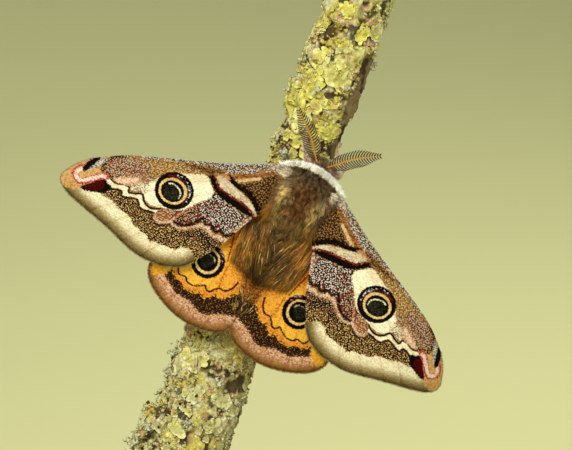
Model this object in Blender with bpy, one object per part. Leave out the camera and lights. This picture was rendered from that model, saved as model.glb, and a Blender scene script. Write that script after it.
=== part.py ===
"""A male emperor moth at rest on a lichened branch, life size, on a small display stand.

Metres, +Z up. The origin is the centre of the base's underside. The moth is modelled in its own
frame, in millimetres: +X to its right, +Y towards its head and +Z out of its back. An empty then
turns that frame head up and back to the front (-Y), as the moth hangs on the branch.
"""

import functools
import math
import random

import bmesh
import bpy
from mathutils import Matrix, Vector, noise

MM = 0.001
GAP = 0.3  # clearance between pieces that touch
SLIVER = 0.12  # edges shorter than this are closed up
SLIVER_PASSES = 3
TURN_LIMIT = 0.2  # the least cosine by which a face may turn when an edge is closed up
SHARP_ANGLE = 40.0  # degrees at which a node's shading breaks

# The stand and the branch, in millimetres
BASE_LENGTH = 62.0
BASE_DEPTH = 46.0
BASE_HEIGHT = 6.0
BASE_CORNER = 12.0
BASE_BEVEL = 1.4
ROD_RADIUS = 2.0
ROD_FOOT_RADIUS = 4.2
ROD_FOOT_HEIGHT = 1.6
ROD_CAP_REACH = 1.2
ROD_CAP_HEIGHT = 0.9
VIEW_HEIGHT = 53.0  # the height of the middle of the moth and branch above the floor
BRANCH_SHIFT = 6.0  # how far the branch's middle stands to the right of the base's
BRANCH_SIDES = 13
BRANCH_RINGS = 30
BRANCH_ROUGHNESS = 0.35
BARK_GRAIN = 0.45  # bumps a millimetre, over two pi
BRANCH_FOOT_CLEAR = 0.6  # the first slanted ring stands at least this far over the level foot
# Places along the branch: right of the middle, above the middle, and the radius there
BRANCH_LINE = [
    (-17.6, -37.0, 6.5),
    (-14.6, -31.5, 6.2),
    (-12.9, -27.6, 5.8),
    (-11.7, -23.5, 5.8),
    (-9.9, -18.5, 5.1),
    (-4.0, -4.5, 4.9),
    (3.4, 12.4, 4.7),
    (6.1, 20.4, 4.8),
    (8.4, 26.3, 5.1),
    (12.1, 36.0, 4.8),
]
# Swellings on the branch: share of its length, angle round it from the front, height, reach
BRANCH_KNOTS = [
    (0.10, -75, 0.9, 3.0),
    (0.22, 65, 0.7, 3.5),
    (0.22, -20, 0.6, 3.0),
    (0.66, -75, 0.8, 2.6),
    (0.80, 80, 0.6, 3.0),
    (0.92, 180, 0.9, 3.5),
    (0.40, 170, 0.8, 4.0),
]
# Leafy lichen plates on the branch: share of its length, degrees round it, radius, height
LICHEN_PLATES = [
    (0.94, -30, 3.6, 0.7), (0.90, 35, 3.2, 0.6), (0.85, -55, 2.9, 0.5), (0.80, 5, 3.6, 0.7),
    (0.755, -74, 2.6, 0.8), (0.755, -18, 3.0, 0.6), (0.765, 50, 2.8, 0.6), (0.33, -55, 2.8, 0.5),
    (0.25, 8, 3.5, 0.6), (0.20, -55, 3.2, 0.6), (0.17, 60, 3.0, 0.6), (0.085, -62, 3.4, 1.3),
    (0.78, 170, 3.6, 0.8), (0.45, 150, 3.6, 0.8), (0.20, 185, 3.6, 0.8),
]
PLATE_POINTS = 10
PLATE_LOBES = 3
PLATE_LOBE_DEPTH = 0.16
# A plate's rings: share of its radius, share of its height, and a fixed depth under the bark
PLATE_RINGS = [(0.9, 0.0, 0.7), (1.0, 0.75, 0.0), (0.62, 1.0, 0.0)]
PLATE_ROOT_DEPTH = 0.9
PLATE_MIDDLE = 0.7  # share of the height in the plate's middle

# The moth's place on the branch, in millimetres and degrees
MOTH_TILT = 29.3  # the body's lean to the right of upright, head up
MOTH_RIGHT = 8.43
MOTH_UP = 3.8  # above the middle
MOTH_OUT = 5.4  # the moth's own zero depth in front of the branch's middle

# The body, in the moth's frame. Each hairy piece has a core, and locks of hair out to its tips.
THORAX_CENTRE = Vector((0.0, -0.7, 4.8))
THORAX_CORE = Vector((3.9, 4.7, 3.1))
# Rows of locks from the front: degrees from the front pole, how many, their length and height
THORAX_ROWS = [
    (28, 7, 3.2, 0.8), (52, 9, 3.4, 0.9), (77, 9, 3.6, 1.0), (102, 9, 3.8, 1.0), (128, 7, 4.6, 1.1),
]
THORAX_LOCK_WIDTH = 2.9
THORAX_BLUNT = 0.62  # below 1, the thorax is fuller towards its ends than an ellipsoid
HEAD_CENTRE = Vector((0.0, 5.1, 4.2))
HEAD_CORE = Vector((1.6, 1.2, 1.6))
HEAD_ROWS = [(30, 4, 1.5, 0.45), (70, 5, 1.3, 0.45)]
HEAD_LOCK_WIDTH = 1.5
EYE_CENTRE = Vector((1.6, 5.4, 3.75))
EYE_RADIUS = 0.9
COLLAR_ARC = [(-4.2, 2.2, 5.2), (-2.6, 3.9, 6.7), (0.0, 4.5, 7.3), (2.6, 3.9, 6.7), (4.2, 2.2, 5.2)]
COLLAR_RADII = [0.45, 0.6, 0.65, 0.6, 0.45]
COLLAR_LOCKS = 10
COLLAR_LOCK_LENGTH = 1.5
COLLAR_LOCK_WIDTH = 1.4
COLLAR_LOCK_SPAN = (0.06, 0.94)  # the shares of the arc between which the locks stand
COLLAR_LOCK_LEAN = (0.9, -0.55)  # how far a lock points outwards and backwards
ABDOMEN_CENTRE = Vector((0.0, -9.9, 3.05))
ABDOMEN_CORE = Vector((1.8, 5.4, 1.6))
ABDOMEN_ROWS = [(52, 4, 3.6, 0.5), (82, 5, 3.6, 0.55), (112, 5, 3.4, 0.55), (142, 3, 2.8, 0.5)]
ABDOMEN_LOCK_WIDTH = 2.3
LOCK_THICKNESS = 0.55
LOCK_SINK = 0.6
LOCK_LAST_LIFT = 168.0  # degrees past which a lock runs straight back
LOCK_SWERVE = 0.06  # radians by which a lock bends sideways
ROLL_SCATTER = 0.12  # of the step between two locks
LENGTH_SCATTER = 0.12
WIDTH_SCATTER = 0.1
# A lock's width, thickness, height over the core and distance along its length, station by station
LOCK_STATIONS = [(0.7, 0.9, None, 0.0), (1.0, 1.0, 0.55, 0.28), (0.85, 0.8, 0.85, 0.6), (0.0, 0.0, 1.0, 1.0)]

ANTENNA_ROOT = Vector((0.8, 5.5, 5.45))
ANTENNA_TIP = Vector((6.65, 10.65, 7.2))
ANTENNA_BOW = Vector((-0.2, 0.35, 0.3))  # how far the middle stands off the straight line
ANTENNA_SHAFT_RADII = [0.36, 0.3, 0.27, 0.24, 0.2]
ANTENNA_RAYS = 10  # on each side of the shaft
ANTENNA_RAY_LENGTH = 1.95
ANTENNA_RAY_SWEEP = 28.0  # degrees towards the tip
ANTENNA_RAY_WIDTH = 0.5
ANTENNA_RAY_SPAN = (0.12, 0.96)  # the shares of the shaft between which the rays stand
ANTENNA_RAY_BEND = 0.55  # where along a ray it bends
ANTENNA_RAY_MIDDLE = (0.8, 0.28)  # the way of a ray's first part, outwards and along the shaft
ANTENNA_RAY_TAPER = 0.75
ANTENNA_FRONT_LIFT = 42.0  # degrees by which the front row of rays stands out of the rear row's plane

# The wings' outlines, in the moth's frame, for the right side
FORE_LEAD = [
    (2.4, 2.5), (4.2, 2.95), (6.0, 2.3), (10.0, 0.0), (15.0, -2.4), (20.0, -4.6), (25.0, -6.95), (28.9, -9.5),
]
FORE_OUTER = [
    (28.9, -9.5), (30.5, -11.2), (31.6, -13.0), (31.9, -14.0), (31.5, -14.85), (30.4, -15.55), (28.4, -16.15),
    (23.0, -17.2), (18.2, -18.4), (15.7, -18.6), (13.2, -18.3), (11.3, -17.6), (9.9, -16.6), (9.1, -15.5),
]
FORE_TRAIL = [(2.8, -3.0), (4.8, -6.0), (6.2, -9.6), (7.1, -12.0), (9.1, -15.5)]
HIND_LEAD = [(3.0, -1.0), (5.0, -3.2), (7.8, -6.0), (10.6, -9.2), (12.9, -12.6), (14.2, -16.0), (14.6, -18.4)]
HIND_OUTER = [
    (14.6, -18.4), (14.5, -19.4), (14.0, -20.4), (13.0, -21.4), (11.5, -22.3), (9.5, -23.1),
    (7.5, -23.6), (5.5, -23.75), (3.5, -23.5), (1.9, -23.0), (0.75, -22.3), (0.25, -21.4),
]
HIND_TRAIL = [(1.5, -3.7), (0.45, -6.0), (0.18, -9.0), (0.18, -15.0), (0.25, -21.4)]
# Each vein: its place across the wing near the root, the same at the margin, and where it starts
FORE_VEINS = [
    (0.07, 0.04, 0.0), (0.20, 0.14, 0.0), (0.225, 0.27, 0.0), (0.25, 0.40, 0.0), (0.40, 0.50, 0.42),
    (0.55, 0.61, 0.0), (0.575, 0.725, 0.0), (0.60, 0.83, 0.0), (0.84, 0.92, 0.0),
]
HIND_VEINS = [
    (0.06, 0.05, 0.0), (0.28, 0.18, 0.0), (0.31, 0.30, 0.0), (0.40, 0.41, 0.35),
    (0.50, 0.53, 0.0), (0.53, 0.64, 0.0), (0.56, 0.76, 0.0), (0.80, 0.88, 0.0),
]
WING_THICKNESS = 0.5
VEIN_HEIGHT = 0.2
VEIN_WIDTH = 0.5
VEIN_UNDER = 0.5  # how far a vein stands out below, as a share of its height above
VEIN_RAMP = 0.05  # share of the wing's length in which a short vein rises
VEIN_ROOM = 0.4  # share of the space to the next vein that half a ridge may take
VEIN_FORK = 0.35  # share of the wing's length at which the veins leave their stems
ROOT_STATIONS = [0.0, 0.08, 0.17, 0.28]
SLOT_LINES = [0.0, 0.35, 0.65, 1.0]  # places across a wing's root where its slot has points
SLOT_GAP = 0.6  # a slot clears the veins too
FORE_STATIONS = ROOT_STATIONS + [0.38, 0.465, 0.50, 0.535, 0.65, 0.78, 0.91, 1.0]
HIND_STATIONS = ROOT_STATIONS + [0.42, 0.565, 0.60, 0.635, 0.76, 0.90, 1.0]
FORE_CELL_END = 0.50  # the station of the cross vein that closes the wing's cell
HIND_CELL_END = 0.60
# Long locks on a hindwing: root, degrees outwards from straight back, length
HIND_LOCKS = [
    ((1.5, -5.0), -6, 4.8), ((2.6, -5.2), 14, 5.0), ((1.1, -8.0), -3, 4.8), ((2.4, -8.3), 5, 5.0),
    ((3.8, -8.6), 16, 4.6), ((1.1, -11.2), -4, 4.4), ((2.6, -11.6), 3, 4.2), ((4.0, -11.6), 12, 3.8),
]
HIND_LOCK_HEIGHT = 0.35
HIND_LOCK_WIDTH = 1.6
# The heights of the wings' middle planes over the moth's zero depth
FORE_ROOT_LEVEL = 6.3
FORE_RISE = 1.3
FORE_RISE_FROM = 2.6  # distances out from the body's middle
FORE_RISE_REACH = 2.8
FORE_FALL = 0.055  # slope outwards
FORE_FALL_FROM = 5.0
FORE_DROOP = 0.010  # how the inner margin curves down
FORE_DROOP_FROM = 11.0
FORE_EDGE_DROP = 0.45  # the leading edge is turned down
FORE_EDGE_REACH = 0.06
HIND_ROOT_LEVEL = 5.0
HIND_RISE_FROM = 1.5  # distances back from the middle of the thorax
HIND_RISE_REACH = 8.0
HIND_ROOF_LEVEL = 6.55
HIND_FALL = 0.09
HIND_FALL_FROM = 2.5
HIND_DROOP = 0.018
HIND_DROOP_FROM = 12.0
TIP_BEND = {"left": 0.0, "right": 0.0095}  # how a forewing's tip is foreshortened as it curls back
TIP_DROP = {"left": 0.006, "right": 0.02}
TIP_BEND_START = 20.0
TIP_DROP_START = 17.0

# Legs: root, knee, then the foot's place along the body and its angle round the branch
LEGS = {
    "fore": {"root": (1.3, 2.4, 2.4), "knee": {"left": (2.2, 5.2, 1.6), "right": (2.9, 5.6, 2.2)},
             "foot_y": 8.3, "foot_angle": {"left": -8, "right": 55}, "toe": 1.6},
    "mid": {"root": (1.9, 0.2, 2.2), "knee": {"left": (4.8, -0.4, 1.4), "right": (4.8, -0.4, 1.4)},
            "foot_y": -1.4, "foot_angle": {"left": -70, "right": 76}, "toe": 1.4},
    "hind": {"root": (1.7, -2.2, 2.2), "knee": {"left": (4.6, -4.8, 1.4), "right": (4.6, -4.8, 1.4)},
             "foot_y": -7.8, "foot_angle": {"left": -66, "right": 70}, "toe": -1.6},
}
LEG_RADII = [0.55, 0.6, 0.5, 0.42, 0.36, 0.3, 0.27, 0.25]
LEG_SIDES = 6
LEG_RINGS = 13
LEG_CLEAR = 0.15  # a foot's clearance above the gap
LEG_ARCH = 0.3  # how far the thigh bows up
SHIN_PLACE = 0.6
SHIN_BOW = 1.2
BRANCH_SEARCH = (0.2, 0.9)  # the shares of the branch between which the feet stand
BRANCH_SEARCH_STEPS = 30

SIDES = {"left": -1.0, "right": 1.0}


def clear_scene():
    """Removes the startup objects."""
    for obj in list(bpy.data.objects):
        bpy.data.objects.remove(obj, do_unlink=True)


def material(name, colour, roughness, metallic=0.0):
    """A Principled material of one colour."""
    made = bpy.data.materials.new(name)
    made.use_nodes = True
    shader = made.node_tree.nodes["Principled BSDF"]
    shader.inputs["Base Color"].default_value = (*colour, 1.0)
    shader.inputs["Roughness"].default_value = roughness
    shader.inputs["Metallic"].default_value = metallic
    return made


def smooth_step(value):
    """0 below 0, 1 above 1, and a smooth rise between."""
    value = min(max(value, 0.0), 1.0)
    return value * value * (3.0 - 2.0 * value)


def read_along(values, share):
    """The value at this share of an evenly spaced list."""
    place = min(max(share, 0.0), 1.0) * (len(values) - 1)
    k = min(int(place), len(values) - 2)
    return values[k] + (values[k + 1] - values[k]) * (place - k)


class Curve:
    """A smooth curve through points, read by the share of its length."""

    STEPS = 16

    def __init__(self, points):
        self.points = [Vector(p) for p in points]
        self.dense = []
        last = len(self.points) - 1
        for k in range(last):
            for i in range(self.STEPS):
                self.dense.append(self.between(k, i / self.STEPS))
        self.dense.append(self.points[last])
        self.lengths = [0.0]
        for a, b in zip(self.dense, self.dense[1:]):
            self.lengths.append(self.lengths[-1] + (b - a).length)

    def between(self, k, f):
        """The point at fraction f of the span from point k to the next."""
        p1, p2 = self.points[k], self.points[k + 1]
        p0 = self.points[max(k - 1, 0)]
        p3 = self.points[min(k + 2, len(self.points) - 1)]
        return 0.5 * (
            2 * p1
            + (p2 - p0) * f
            + (2 * p0 - 5 * p1 + 4 * p2 - p3) * f**2
            + (3 * p1 - p0 - 3 * p2 + p3) * f**3
        )

    def at(self, share):
        """The point at this share of the curve's length."""
        wanted = share * self.lengths[-1]
        for k in range(len(self.dense) - 1):
            if self.lengths[k + 1] >= wanted:
                span = self.lengths[k + 1] - self.lengths[k]
                f = (wanted - self.lengths[k]) / span if span else 0.0
                return self.dense[k].lerp(self.dense[k + 1], f)
        return self.dense[-1].copy()

    def tangent(self, share):
        """The direction of travel at this share of the curve's length."""
        near = 0.01
        return (self.at(min(share + near, 1.0)) - self.at(max(share - near, 0.0))).normalized()


def mesh_object(name, points, faces):
    """A closed mesh object from points in millimetres."""
    mesh = bpy.data.meshes.new(name)
    mesh.from_pydata([tuple(Vector(p) * MM) for p in points], [], faces)
    shape = bmesh.new()
    shape.from_mesh(mesh)
    bmesh.ops.recalc_face_normals(shape, faces=shape.faces)
    if shape.calc_volume(signed=True) < 0:
        bmesh.ops.reverse_faces(shape, faces=shape.faces)
    shape.to_mesh(mesh)
    shape.free()
    obj = bpy.data.objects.new(name, mesh)
    bpy.context.scene.collection.objects.link(obj)
    return obj


def rings_object(name, rings):
    """Rings of points, alike in number, skinned into a closed tube with fans for ends."""
    points, faces = [], []
    sides = len(rings[0])
    for ring in rings:
        points.extend(ring)
    for i in range(len(rings) - 1):
        for k in range(sides):
            a, b = i * sides + k, i * sides + (k + 1) % sides
            faces.append((a, b, b + sides, a + sides))
    for first in (0, (len(rings) - 1) * sides):
        centre = sum((Vector(p) for p in points[first : first + sides]), Vector()) / sides
        points.append(centre)
        for k in range(sides):
            faces.append((first + k, first + (k + 1) % sides, len(points) - 1))
    return mesh_object(name, points, faces)


def frame_across(tangent, up):
    """Two directions across a tangent, the second as near to up as it can be."""
    side = tangent.cross(up).normalized()
    return side, side.cross(tangent).normalized()


def tube(name, line, radii, sides, rings, grow=0.0, up=Vector((0, 0, 1))):
    """A round tube along a smooth line, its radius read from a list, with rounded ends."""
    curve = Curve(line)
    made = []
    for i in range(rings + 1):
        share = i / rings
        radius = read_along(radii, share) + grow
        tangent = curve.tangent(share)
        side, over = frame_across(tangent, up)
        centre = curve.at(share)
        if i == 0:
            centre = centre - tangent * grow
        if i == rings:
            centre = centre + tangent * grow
        ring = []
        for n in range(sides):
            turn = 2 * math.pi * n / sides
            ring.append(centre + (side * math.cos(turn) + over * math.sin(turn)) * radius)
        made.append(ring)
    return rings_object(name, made)


def ellipsoid(name, centre, radii, around=20, rings=12, grow=0.0, blunt=1.0):
    """An ellipsoid with its poles along Y, fuller towards them where blunt is below 1."""
    points = [centre + Vector((0, radii.y + grow, 0))]
    faces = []
    for i in range(1, rings):
        lift = math.pi * i / rings
        wide = math.sin(lift) ** blunt
        for n in range(around):
            turn = 2 * math.pi * n / around
            points.append(
                centre
                + Vector(
                    (
                        (radii.x + grow) * wide * math.cos(turn),
                        (radii.y + grow) * math.cos(lift),
                        (radii.z + grow) * wide * math.sin(turn),
                    )
                )
            )
    points.append(centre - Vector((0, radii.y + grow, 0)))
    last = len(points) - 1
    for n in range(around):
        following = (n + 1) % around
        faces.append((0, 1 + n, 1 + following))
        faces.append((last, last - around + following, last - around + n))
        for i in range(rings - 2):
            a, b = 1 + i * around + n, 1 + i * around + following
            faces.append((a, a + around, b + around, b))
    return mesh_object(name, points, faces)


def apply_boolean(obj, others, operation, solver="EXACT"):
    """One Boolean of obj with a collection of closed meshes, applied, with the others removed."""
    if not others:
        return obj
    group = bpy.data.collections.new(obj.name + "_pieces")
    for other in others:
        group.objects.link(other)
    step = obj.modifiers.new("join", "BOOLEAN")
    step.operation = operation
    step.operand_type = "COLLECTION"
    step.collection = group
    step.solver = solver
    bpy.context.view_layer.update()
    graph = bpy.context.evaluated_depsgraph_get()
    result = bpy.data.meshes.new_from_object(obj.evaluated_get(graph))
    obj.modifiers.clear()
    obj.data = result
    for other in others:
        bpy.data.objects.remove(other, do_unlink=True)
    bpy.data.collections.remove(group)
    return obj


def may_close(edge, spot):
    """True where closing an edge up at a spot keeps the surface closed and no face turns over."""
    a, b = edge.verts
    if len(edge.link_faces) != 2:
        return False
    near_a = {e.other_vert(a) for e in a.link_edges}
    near_b = {e.other_vert(b) for e in b.link_edges}
    if len(near_a & near_b) != 2:
        return False
    for end in (a, b):
        for face in end.link_faces:
            if edge in face.edges:
                continue
            others = [v.co for v in face.verts if v is not end]
            before = (others[0] - end.co).cross(others[1] - end.co)
            after = (others[0] - spot).cross(others[1] - spot)
            if before.dot(after) <= TURN_LIMIT * before.length * after.length:
                return False
    return True


def drop_slivers(obj):
    """Closes up the tiny edges that the Booleans leave."""
    shape = bmesh.new()
    shape.from_mesh(obj.data)
    bmesh.ops.triangulate(shape, faces=shape.faces)
    for _ in range(SLIVER_PASSES):
        short = [edge for edge in shape.edges if edge.calc_length() < SLIVER * MM]
        for edge in short:
            if not edge.is_valid:
                continue
            spot = (edge.verts[0].co + edge.verts[1].co) / 2
            if may_close(edge, spot):
                bmesh.ops.pointmerge(shape, verts=list(edge.verts), merge_co=spot)
    shape.to_mesh(obj.data)
    shape.free()


def keep_largest(obj):
    """Leaves the closed surface of largest volume and drops the rest."""
    shape = bmesh.new()
    shape.from_mesh(obj.data)
    shape.faces.ensure_lookup_table()
    seen, islands = set(), []
    for start in shape.faces:
        if start.index in seen:
            continue
        island, front = [], [start]
        seen.add(start.index)
        while front:
            face = front.pop()
            island.append(face)
            for edge in face.edges:
                for near in edge.link_faces:
                    if near.index not in seen:
                        seen.add(near.index)
                        front.append(near)
        islands.append(island)

    def volume(island):
        total = 0.0
        for face in island:
            corners = [loop.vert.co for loop in face.loops]
            for a, b in zip(corners[1:], corners[2:]):
                total += corners[0].dot(a.cross(b)) / 6.0
        return total

    largest = max(islands, key=volume)
    drop = [face for island in islands if island is not largest for face in island]
    bmesh.ops.delete(shape, geom=drop, context="FACES")
    shape.to_mesh(obj.data)
    shape.free()
    return obj


def finish(obj, look, parent):
    """Shades a node smooth, gives it its material and sets it in its frame."""
    obj.data.materials.clear()
    obj.data.materials.append(look)
    obj.data.shade_smooth()
    obj.data.set_sharp_from_angle(angle=math.radians(SHARP_ANGLE))
    obj.parent = parent
    return obj


def node(name, pieces, cutters, look, parent):
    """A node made of pieces fused into one closed body, then cut clear of its neighbours."""
    obj = apply_boolean(pieces[0], pieces[1:], "UNION")
    obj = apply_boolean(obj, cutters, "DIFFERENCE")
    drop_slivers(obj)
    keep_largest(obj)
    obj.name = name
    return finish(obj, look, parent)


def spike_object(name, rings, tip):
    """Rings of four points skinned into a closed spike that ends in one point."""
    points = [point for ring in rings for point in ring] + [tip]
    faces = [(0, 1, 2), (0, 2, 3)]
    for i in range(len(rings) - 1):
        for k in range(4):
            a, b = i * 4 + k, i * 4 + (k + 1) % 4
            faces.append((a, b, b + 4))
            faces.append((a, b + 4, a + 4))
    last = (len(rings) - 1) * 4
    for k in range(4):
        faces.append((last + k, last + (k + 1) % 4, len(points) - 1))
    return mesh_object(name, points, faces)


def lock(spine, outs, width):
    """One flat tapered lock along a spine from its sunk root, with the coat's outward way at each point."""
    rings = []
    for k, (wide, thick, _, _) in enumerate(LOCK_STATIONS[:-1]):
        along = (spine[k + 1] - spine[max(k - 1, 0)]).normalized()
        across = along.cross(outs[k]).normalized() * width * wide / 2
        over = across.cross(along).normalized() * LOCK_THICKNESS * thick / 2
        rings.append([spine[k] + across, spine[k] + over, spine[k] - across, spine[k] - over])
    return spike_object("lock", rings, spine[-1])


def on_core(centre, radii, blunt, lift, roll, height):
    """The point at a height over an ellipsoid: lift from its front pole, roll round its long axis."""
    wide = math.sin(lift) ** blunt
    way = Vector((math.sin(lift) * math.sin(roll), math.cos(lift), math.sin(lift) * math.cos(roll)))
    base = Vector((wide * math.sin(roll) * radii.x, way.y * radii.y, wide * math.cos(roll) * radii.z))
    out = Vector((way.x / radii.x, way.y / radii.y, way.z / radii.z)).normalized()
    return centre + base + out * height, out


def coat_of_locks(centre, radii, rows, width, seed, blunt=1.0):
    """Rows of locks from front to back over an ellipsoid, each lying back over the next row."""
    draw = random.Random(seed)
    locks = []
    for row, (start, count, length, height) in enumerate(rows):
        for n in range(count):
            step = 360 / count
            roll = math.radians(step * (n + 0.5 * (row % 2) + draw.uniform(-ROLL_SCATTER, ROLL_SCATTER)))
            reach = length * draw.uniform(1 - LENGTH_SCATTER, 1 + LENGTH_SCATTER)
            spine, outs = [], []
            for _, _, share, along in LOCK_STATIONS:
                lift = math.radians(start) + along * reach / radii.y
                over = -LOCK_SINK if share is None else height * share
                beyond = max(lift - math.radians(LOCK_LAST_LIFT), 0.0)
                swerve = LOCK_SWERVE * along * draw.uniform(-1, 1)
                point, out = on_core(centre, radii, blunt, lift - beyond, roll + swerve, over)
                spine.append(point - Vector((0, beyond * radii.y, 0)))
                outs.append(out)
            locks.append(lock(spine, outs, width * draw.uniform(1 - WIDTH_SCATTER, 1 + WIDTH_SCATTER)))
    return locks


class Wing:
    """A wing as a patch between its leading edge, outer margin, inner margin and root."""

    def __init__(self, outline, veins, cell_end, height, side):
        self.lead, self.outer, self.trail = (Curve(edge) for edge in outline)
        self.veins = veins
        self.cell_end = cell_end
        self.height = height
        self.side = side

    def plan(self, across, along):
        """The point of the patch: across 0 at the leading edge, along 0 at the root."""
        lead, trail = self.lead.at(along), self.trail.at(along)
        root = self.lead.at(0).lerp(self.trail.at(0), across)
        outer = self.outer.at(across)
        sides = lead.lerp(trail, across)
        ends = root.lerp(outer, along)
        corners = root.lerp(self.lead.at(1).lerp(self.trail.at(1), across), along)
        return sides + ends - corners

    def vein_line(self, vein, along):
        """How far across the wing a vein runs at a station."""
        stem, end, _ = vein
        return stem + (end - stem) * smooth_step((along - VEIN_FORK) / (1.0 - VEIN_FORK))

    def lines(self, along):
        """The places across the wing at a station, each with its share of a vein's height."""
        crests = [self.vein_line(vein, along) for vein in self.veins]
        chord = (self.plan(0.0, along) - self.plan(1.0, along)).length
        half = VEIN_WIDTH / 2 / max(chord, 1.0)
        rows = [(0.0, 0.0)]
        for k, crest in enumerate(crests):
            before = crests[k - 1] if k else 0.0
            after = crests[k + 1] if k + 1 < len(crests) else 1.0
            start = self.veins[k][2]
            started = smooth_step((along - start) / VEIN_RAMP) if start else 1.0
            left, right = min(half, VEIN_ROOM * (crest - before)), min(half, VEIN_ROOM * (after - crest))
            rows += [(crest - left, 0.0), (crest, started), (crest + right, 0.0)]
        rows.append((1.0, 0.0))
        return rows

    def closes_cell(self, across, along):
        """True on the cross vein between the two stems."""
        first, last = self.vein_line(self.veins[3], along), self.vein_line(self.veins[-4], along)
        return abs(along - self.cell_end) < 1e-6 and first < across < last

    def surface(self, name, stations):
        """The wing as a closed slab, its veins raised in both faces."""
        tops, bottoms = [], []
        for along in stations:
            for across, ridge in self.lines(along):
                spot = self.plan(across, along)
                level = self.height(spot, across, along)
                raised = VEIN_HEIGHT * (1.0 if self.closes_cell(across, along) else ridge)
                x = self.foreshortened(spot.x) * SIDES[self.side]
                tops.append(Vector((x, spot.y, level + WING_THICKNESS / 2 + raised)))
                bottoms.append(Vector((x, spot.y, level - WING_THICKNESS / 2 - VEIN_UNDER * raised)))
        return self.slab(name, tops, bottoms, len(stations))

    def slot(self, over):
        """The space to be kept clear round the wing's root, and over it, as a plain closed slab."""
        tops, bottoms = [], []
        for i, along in enumerate(ROOT_STATIONS):
            for across in SLOT_LINES:
                spot = self.plan(across, along) + self.outward(across, along, i == 0) * SLOT_GAP
                level = self.height(spot, across, along)
                half = WING_THICKNESS / 2
                tops.append(Vector((spot.x * SIDES[self.side], spot.y, level + half + over)))
                bottoms.append(Vector((spot.x * SIDES[self.side], spot.y, level - half - SLOT_GAP)))
        return self.slab("slot", tops, bottoms, len(ROOT_STATIONS))

    def outward(self, across, along, at_root):
        """The direction in which the slot's edge grows off the wing's edge."""
        push = Vector((0.0, 0.0))
        if across in (0.0, 1.0):
            inside = self.plan(0.5, along)
            push += (self.plan(across, along) - inside).normalized()
        if at_root:
            root_line = (self.plan(1.0, 0.0) - self.plan(0.0, 0.0)).normalized()
            push += Vector((root_line.y, -root_line.x))
        return push

    def foreshortened(self, x):
        """How far out a point comes to lie as the tip curls back, different on each side."""
        return x - TIP_BEND[self.side] * max(x - TIP_BEND_START, 0.0) ** 2

    @staticmethod
    def slab(name, tops, bottoms, rows):
        """Two sheets of alike triangles and the rim between them."""
        columns = len(tops) // rows
        points = tops + bottoms
        below = len(tops)
        faces = []
        for i in range(rows - 1):
            for k in range(columns - 1):
                a, b = i * columns + k, i * columns + k + 1
                c, d = b + columns, a + columns
                for face in ((a, b, c), (a, c, d)):
                    faces.append(face)
                    faces.append(tuple(v + below for v in reversed(face)))
        rim = list(range(columns))
        rim += [i * columns + columns - 1 for i in range(1, rows)]
        rim += [(rows - 1) * columns + k for k in range(columns - 2, -1, -1)]
        rim += [i * columns for i in range(rows - 2, 0, -1)]
        for a, b in zip(rim, rim[1:] + rim[:1]):
            faces.append((a, a + below, b + below))
            faces.append((a, b + below, b))
        return mesh_object(name, points, faces)


def fore_height(side):
    """The height of a forewing's middle plane over the moth's zero depth."""

    def level(spot, across, along):
        rise = FORE_ROOT_LEVEL + FORE_RISE * smooth_step((spot.x - FORE_RISE_FROM) / FORE_RISE_REACH)
        fall = FORE_FALL * max(spot.x - FORE_FALL_FROM, 0.0)
        droop = FORE_DROOP * max(-spot.y - FORE_DROOP_FROM, 0.0) ** 2
        drop = TIP_DROP[side] * max(spot.x - TIP_DROP_START, 0.0) ** 2
        edge = FORE_EDGE_DROP * math.exp(-max(across, 0.0) / FORE_EDGE_REACH) * smooth_step(along / 0.3)
        return rise - fall - droop - drop - edge

    return level


def hind_height(spot, _across, _along):
    """The height of a hindwing's middle plane: a low roof over the abdomen."""
    fall = HIND_FALL * max(spot.x - HIND_FALL_FROM, 0.0)
    droop = HIND_DROOP * max(-spot.y - HIND_DROOP_FROM, 0.0) ** 2
    rise = smooth_step((-spot.y - HIND_RISE_FROM) / HIND_RISE_REACH)
    return HIND_ROOT_LEVEL + (HIND_ROOF_LEVEL - fall - droop - HIND_ROOT_LEVEL) * rise


def wing_hair(wing):
    """The long locks over a hindwing's inner half, which fan back from the body."""
    locks = []
    for start, way, length in HIND_LOCKS:
        turn = math.radians(way)
        ahead = Vector((math.sin(turn), -math.cos(turn)))
        spine, outs = [], []
        for _, _, share, along in LOCK_STATIONS:
            spot = Vector(start) + ahead * along * length
            over = -WING_THICKNESS / 4 if share is None else HIND_LOCK_HEIGHT * share
            level = wing.height(spot, 1.0, 1.0) + WING_THICKNESS / 2 + over
            spine.append(Vector((spot.x * SIDES[wing.side], spot.y, level)))
            outs.append(Vector((0, 0, 1)))
        locks.append(lock(spine, outs, HIND_LOCK_WIDTH))
    return locks


def forewing(side):
    """The forewing's shape on one side."""
    return Wing((FORE_LEAD, FORE_OUTER, FORE_TRAIL), FORE_VEINS, FORE_CELL_END, fore_height(side), side)


def hindwing(side):
    """The hindwing's shape on one side."""
    return Wing((HIND_LEAD, HIND_OUTER, HIND_TRAIL), HIND_VEINS, HIND_CELL_END, hind_height, side)


def build_wings(looks, frame):
    """The four wings."""
    for side in SIDES:
        finish(forewing(side).surface(f"forewing_{side}", FORE_STATIONS), looks["forewing"], frame)
        hind = hindwing(side)
        membrane = hind.surface("membrane", HIND_STATIONS)
        node(f"hindwing_{side}", [membrane] + wing_hair(hind), [], looks["hindwing"], frame)


def spread(span, n, count):
    """The share at which the nth of so many pieces stands, spaced evenly between two shares."""
    return span[0] + (span[1] - span[0]) * n / (count - 1)


def mirrored(point, side):
    """A point of the right side set on this side."""
    return Vector((point[0] * SIDES[side], point[1], point[2]))


def antenna_line(side):
    """The shaft's curve from the head to the tip."""
    middle = (ANTENNA_ROOT + ANTENNA_TIP) / 2 + ANTENNA_BOW
    return [mirrored(p, side) for p in (ANTENNA_ROOT, middle, ANTENNA_TIP)]


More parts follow.
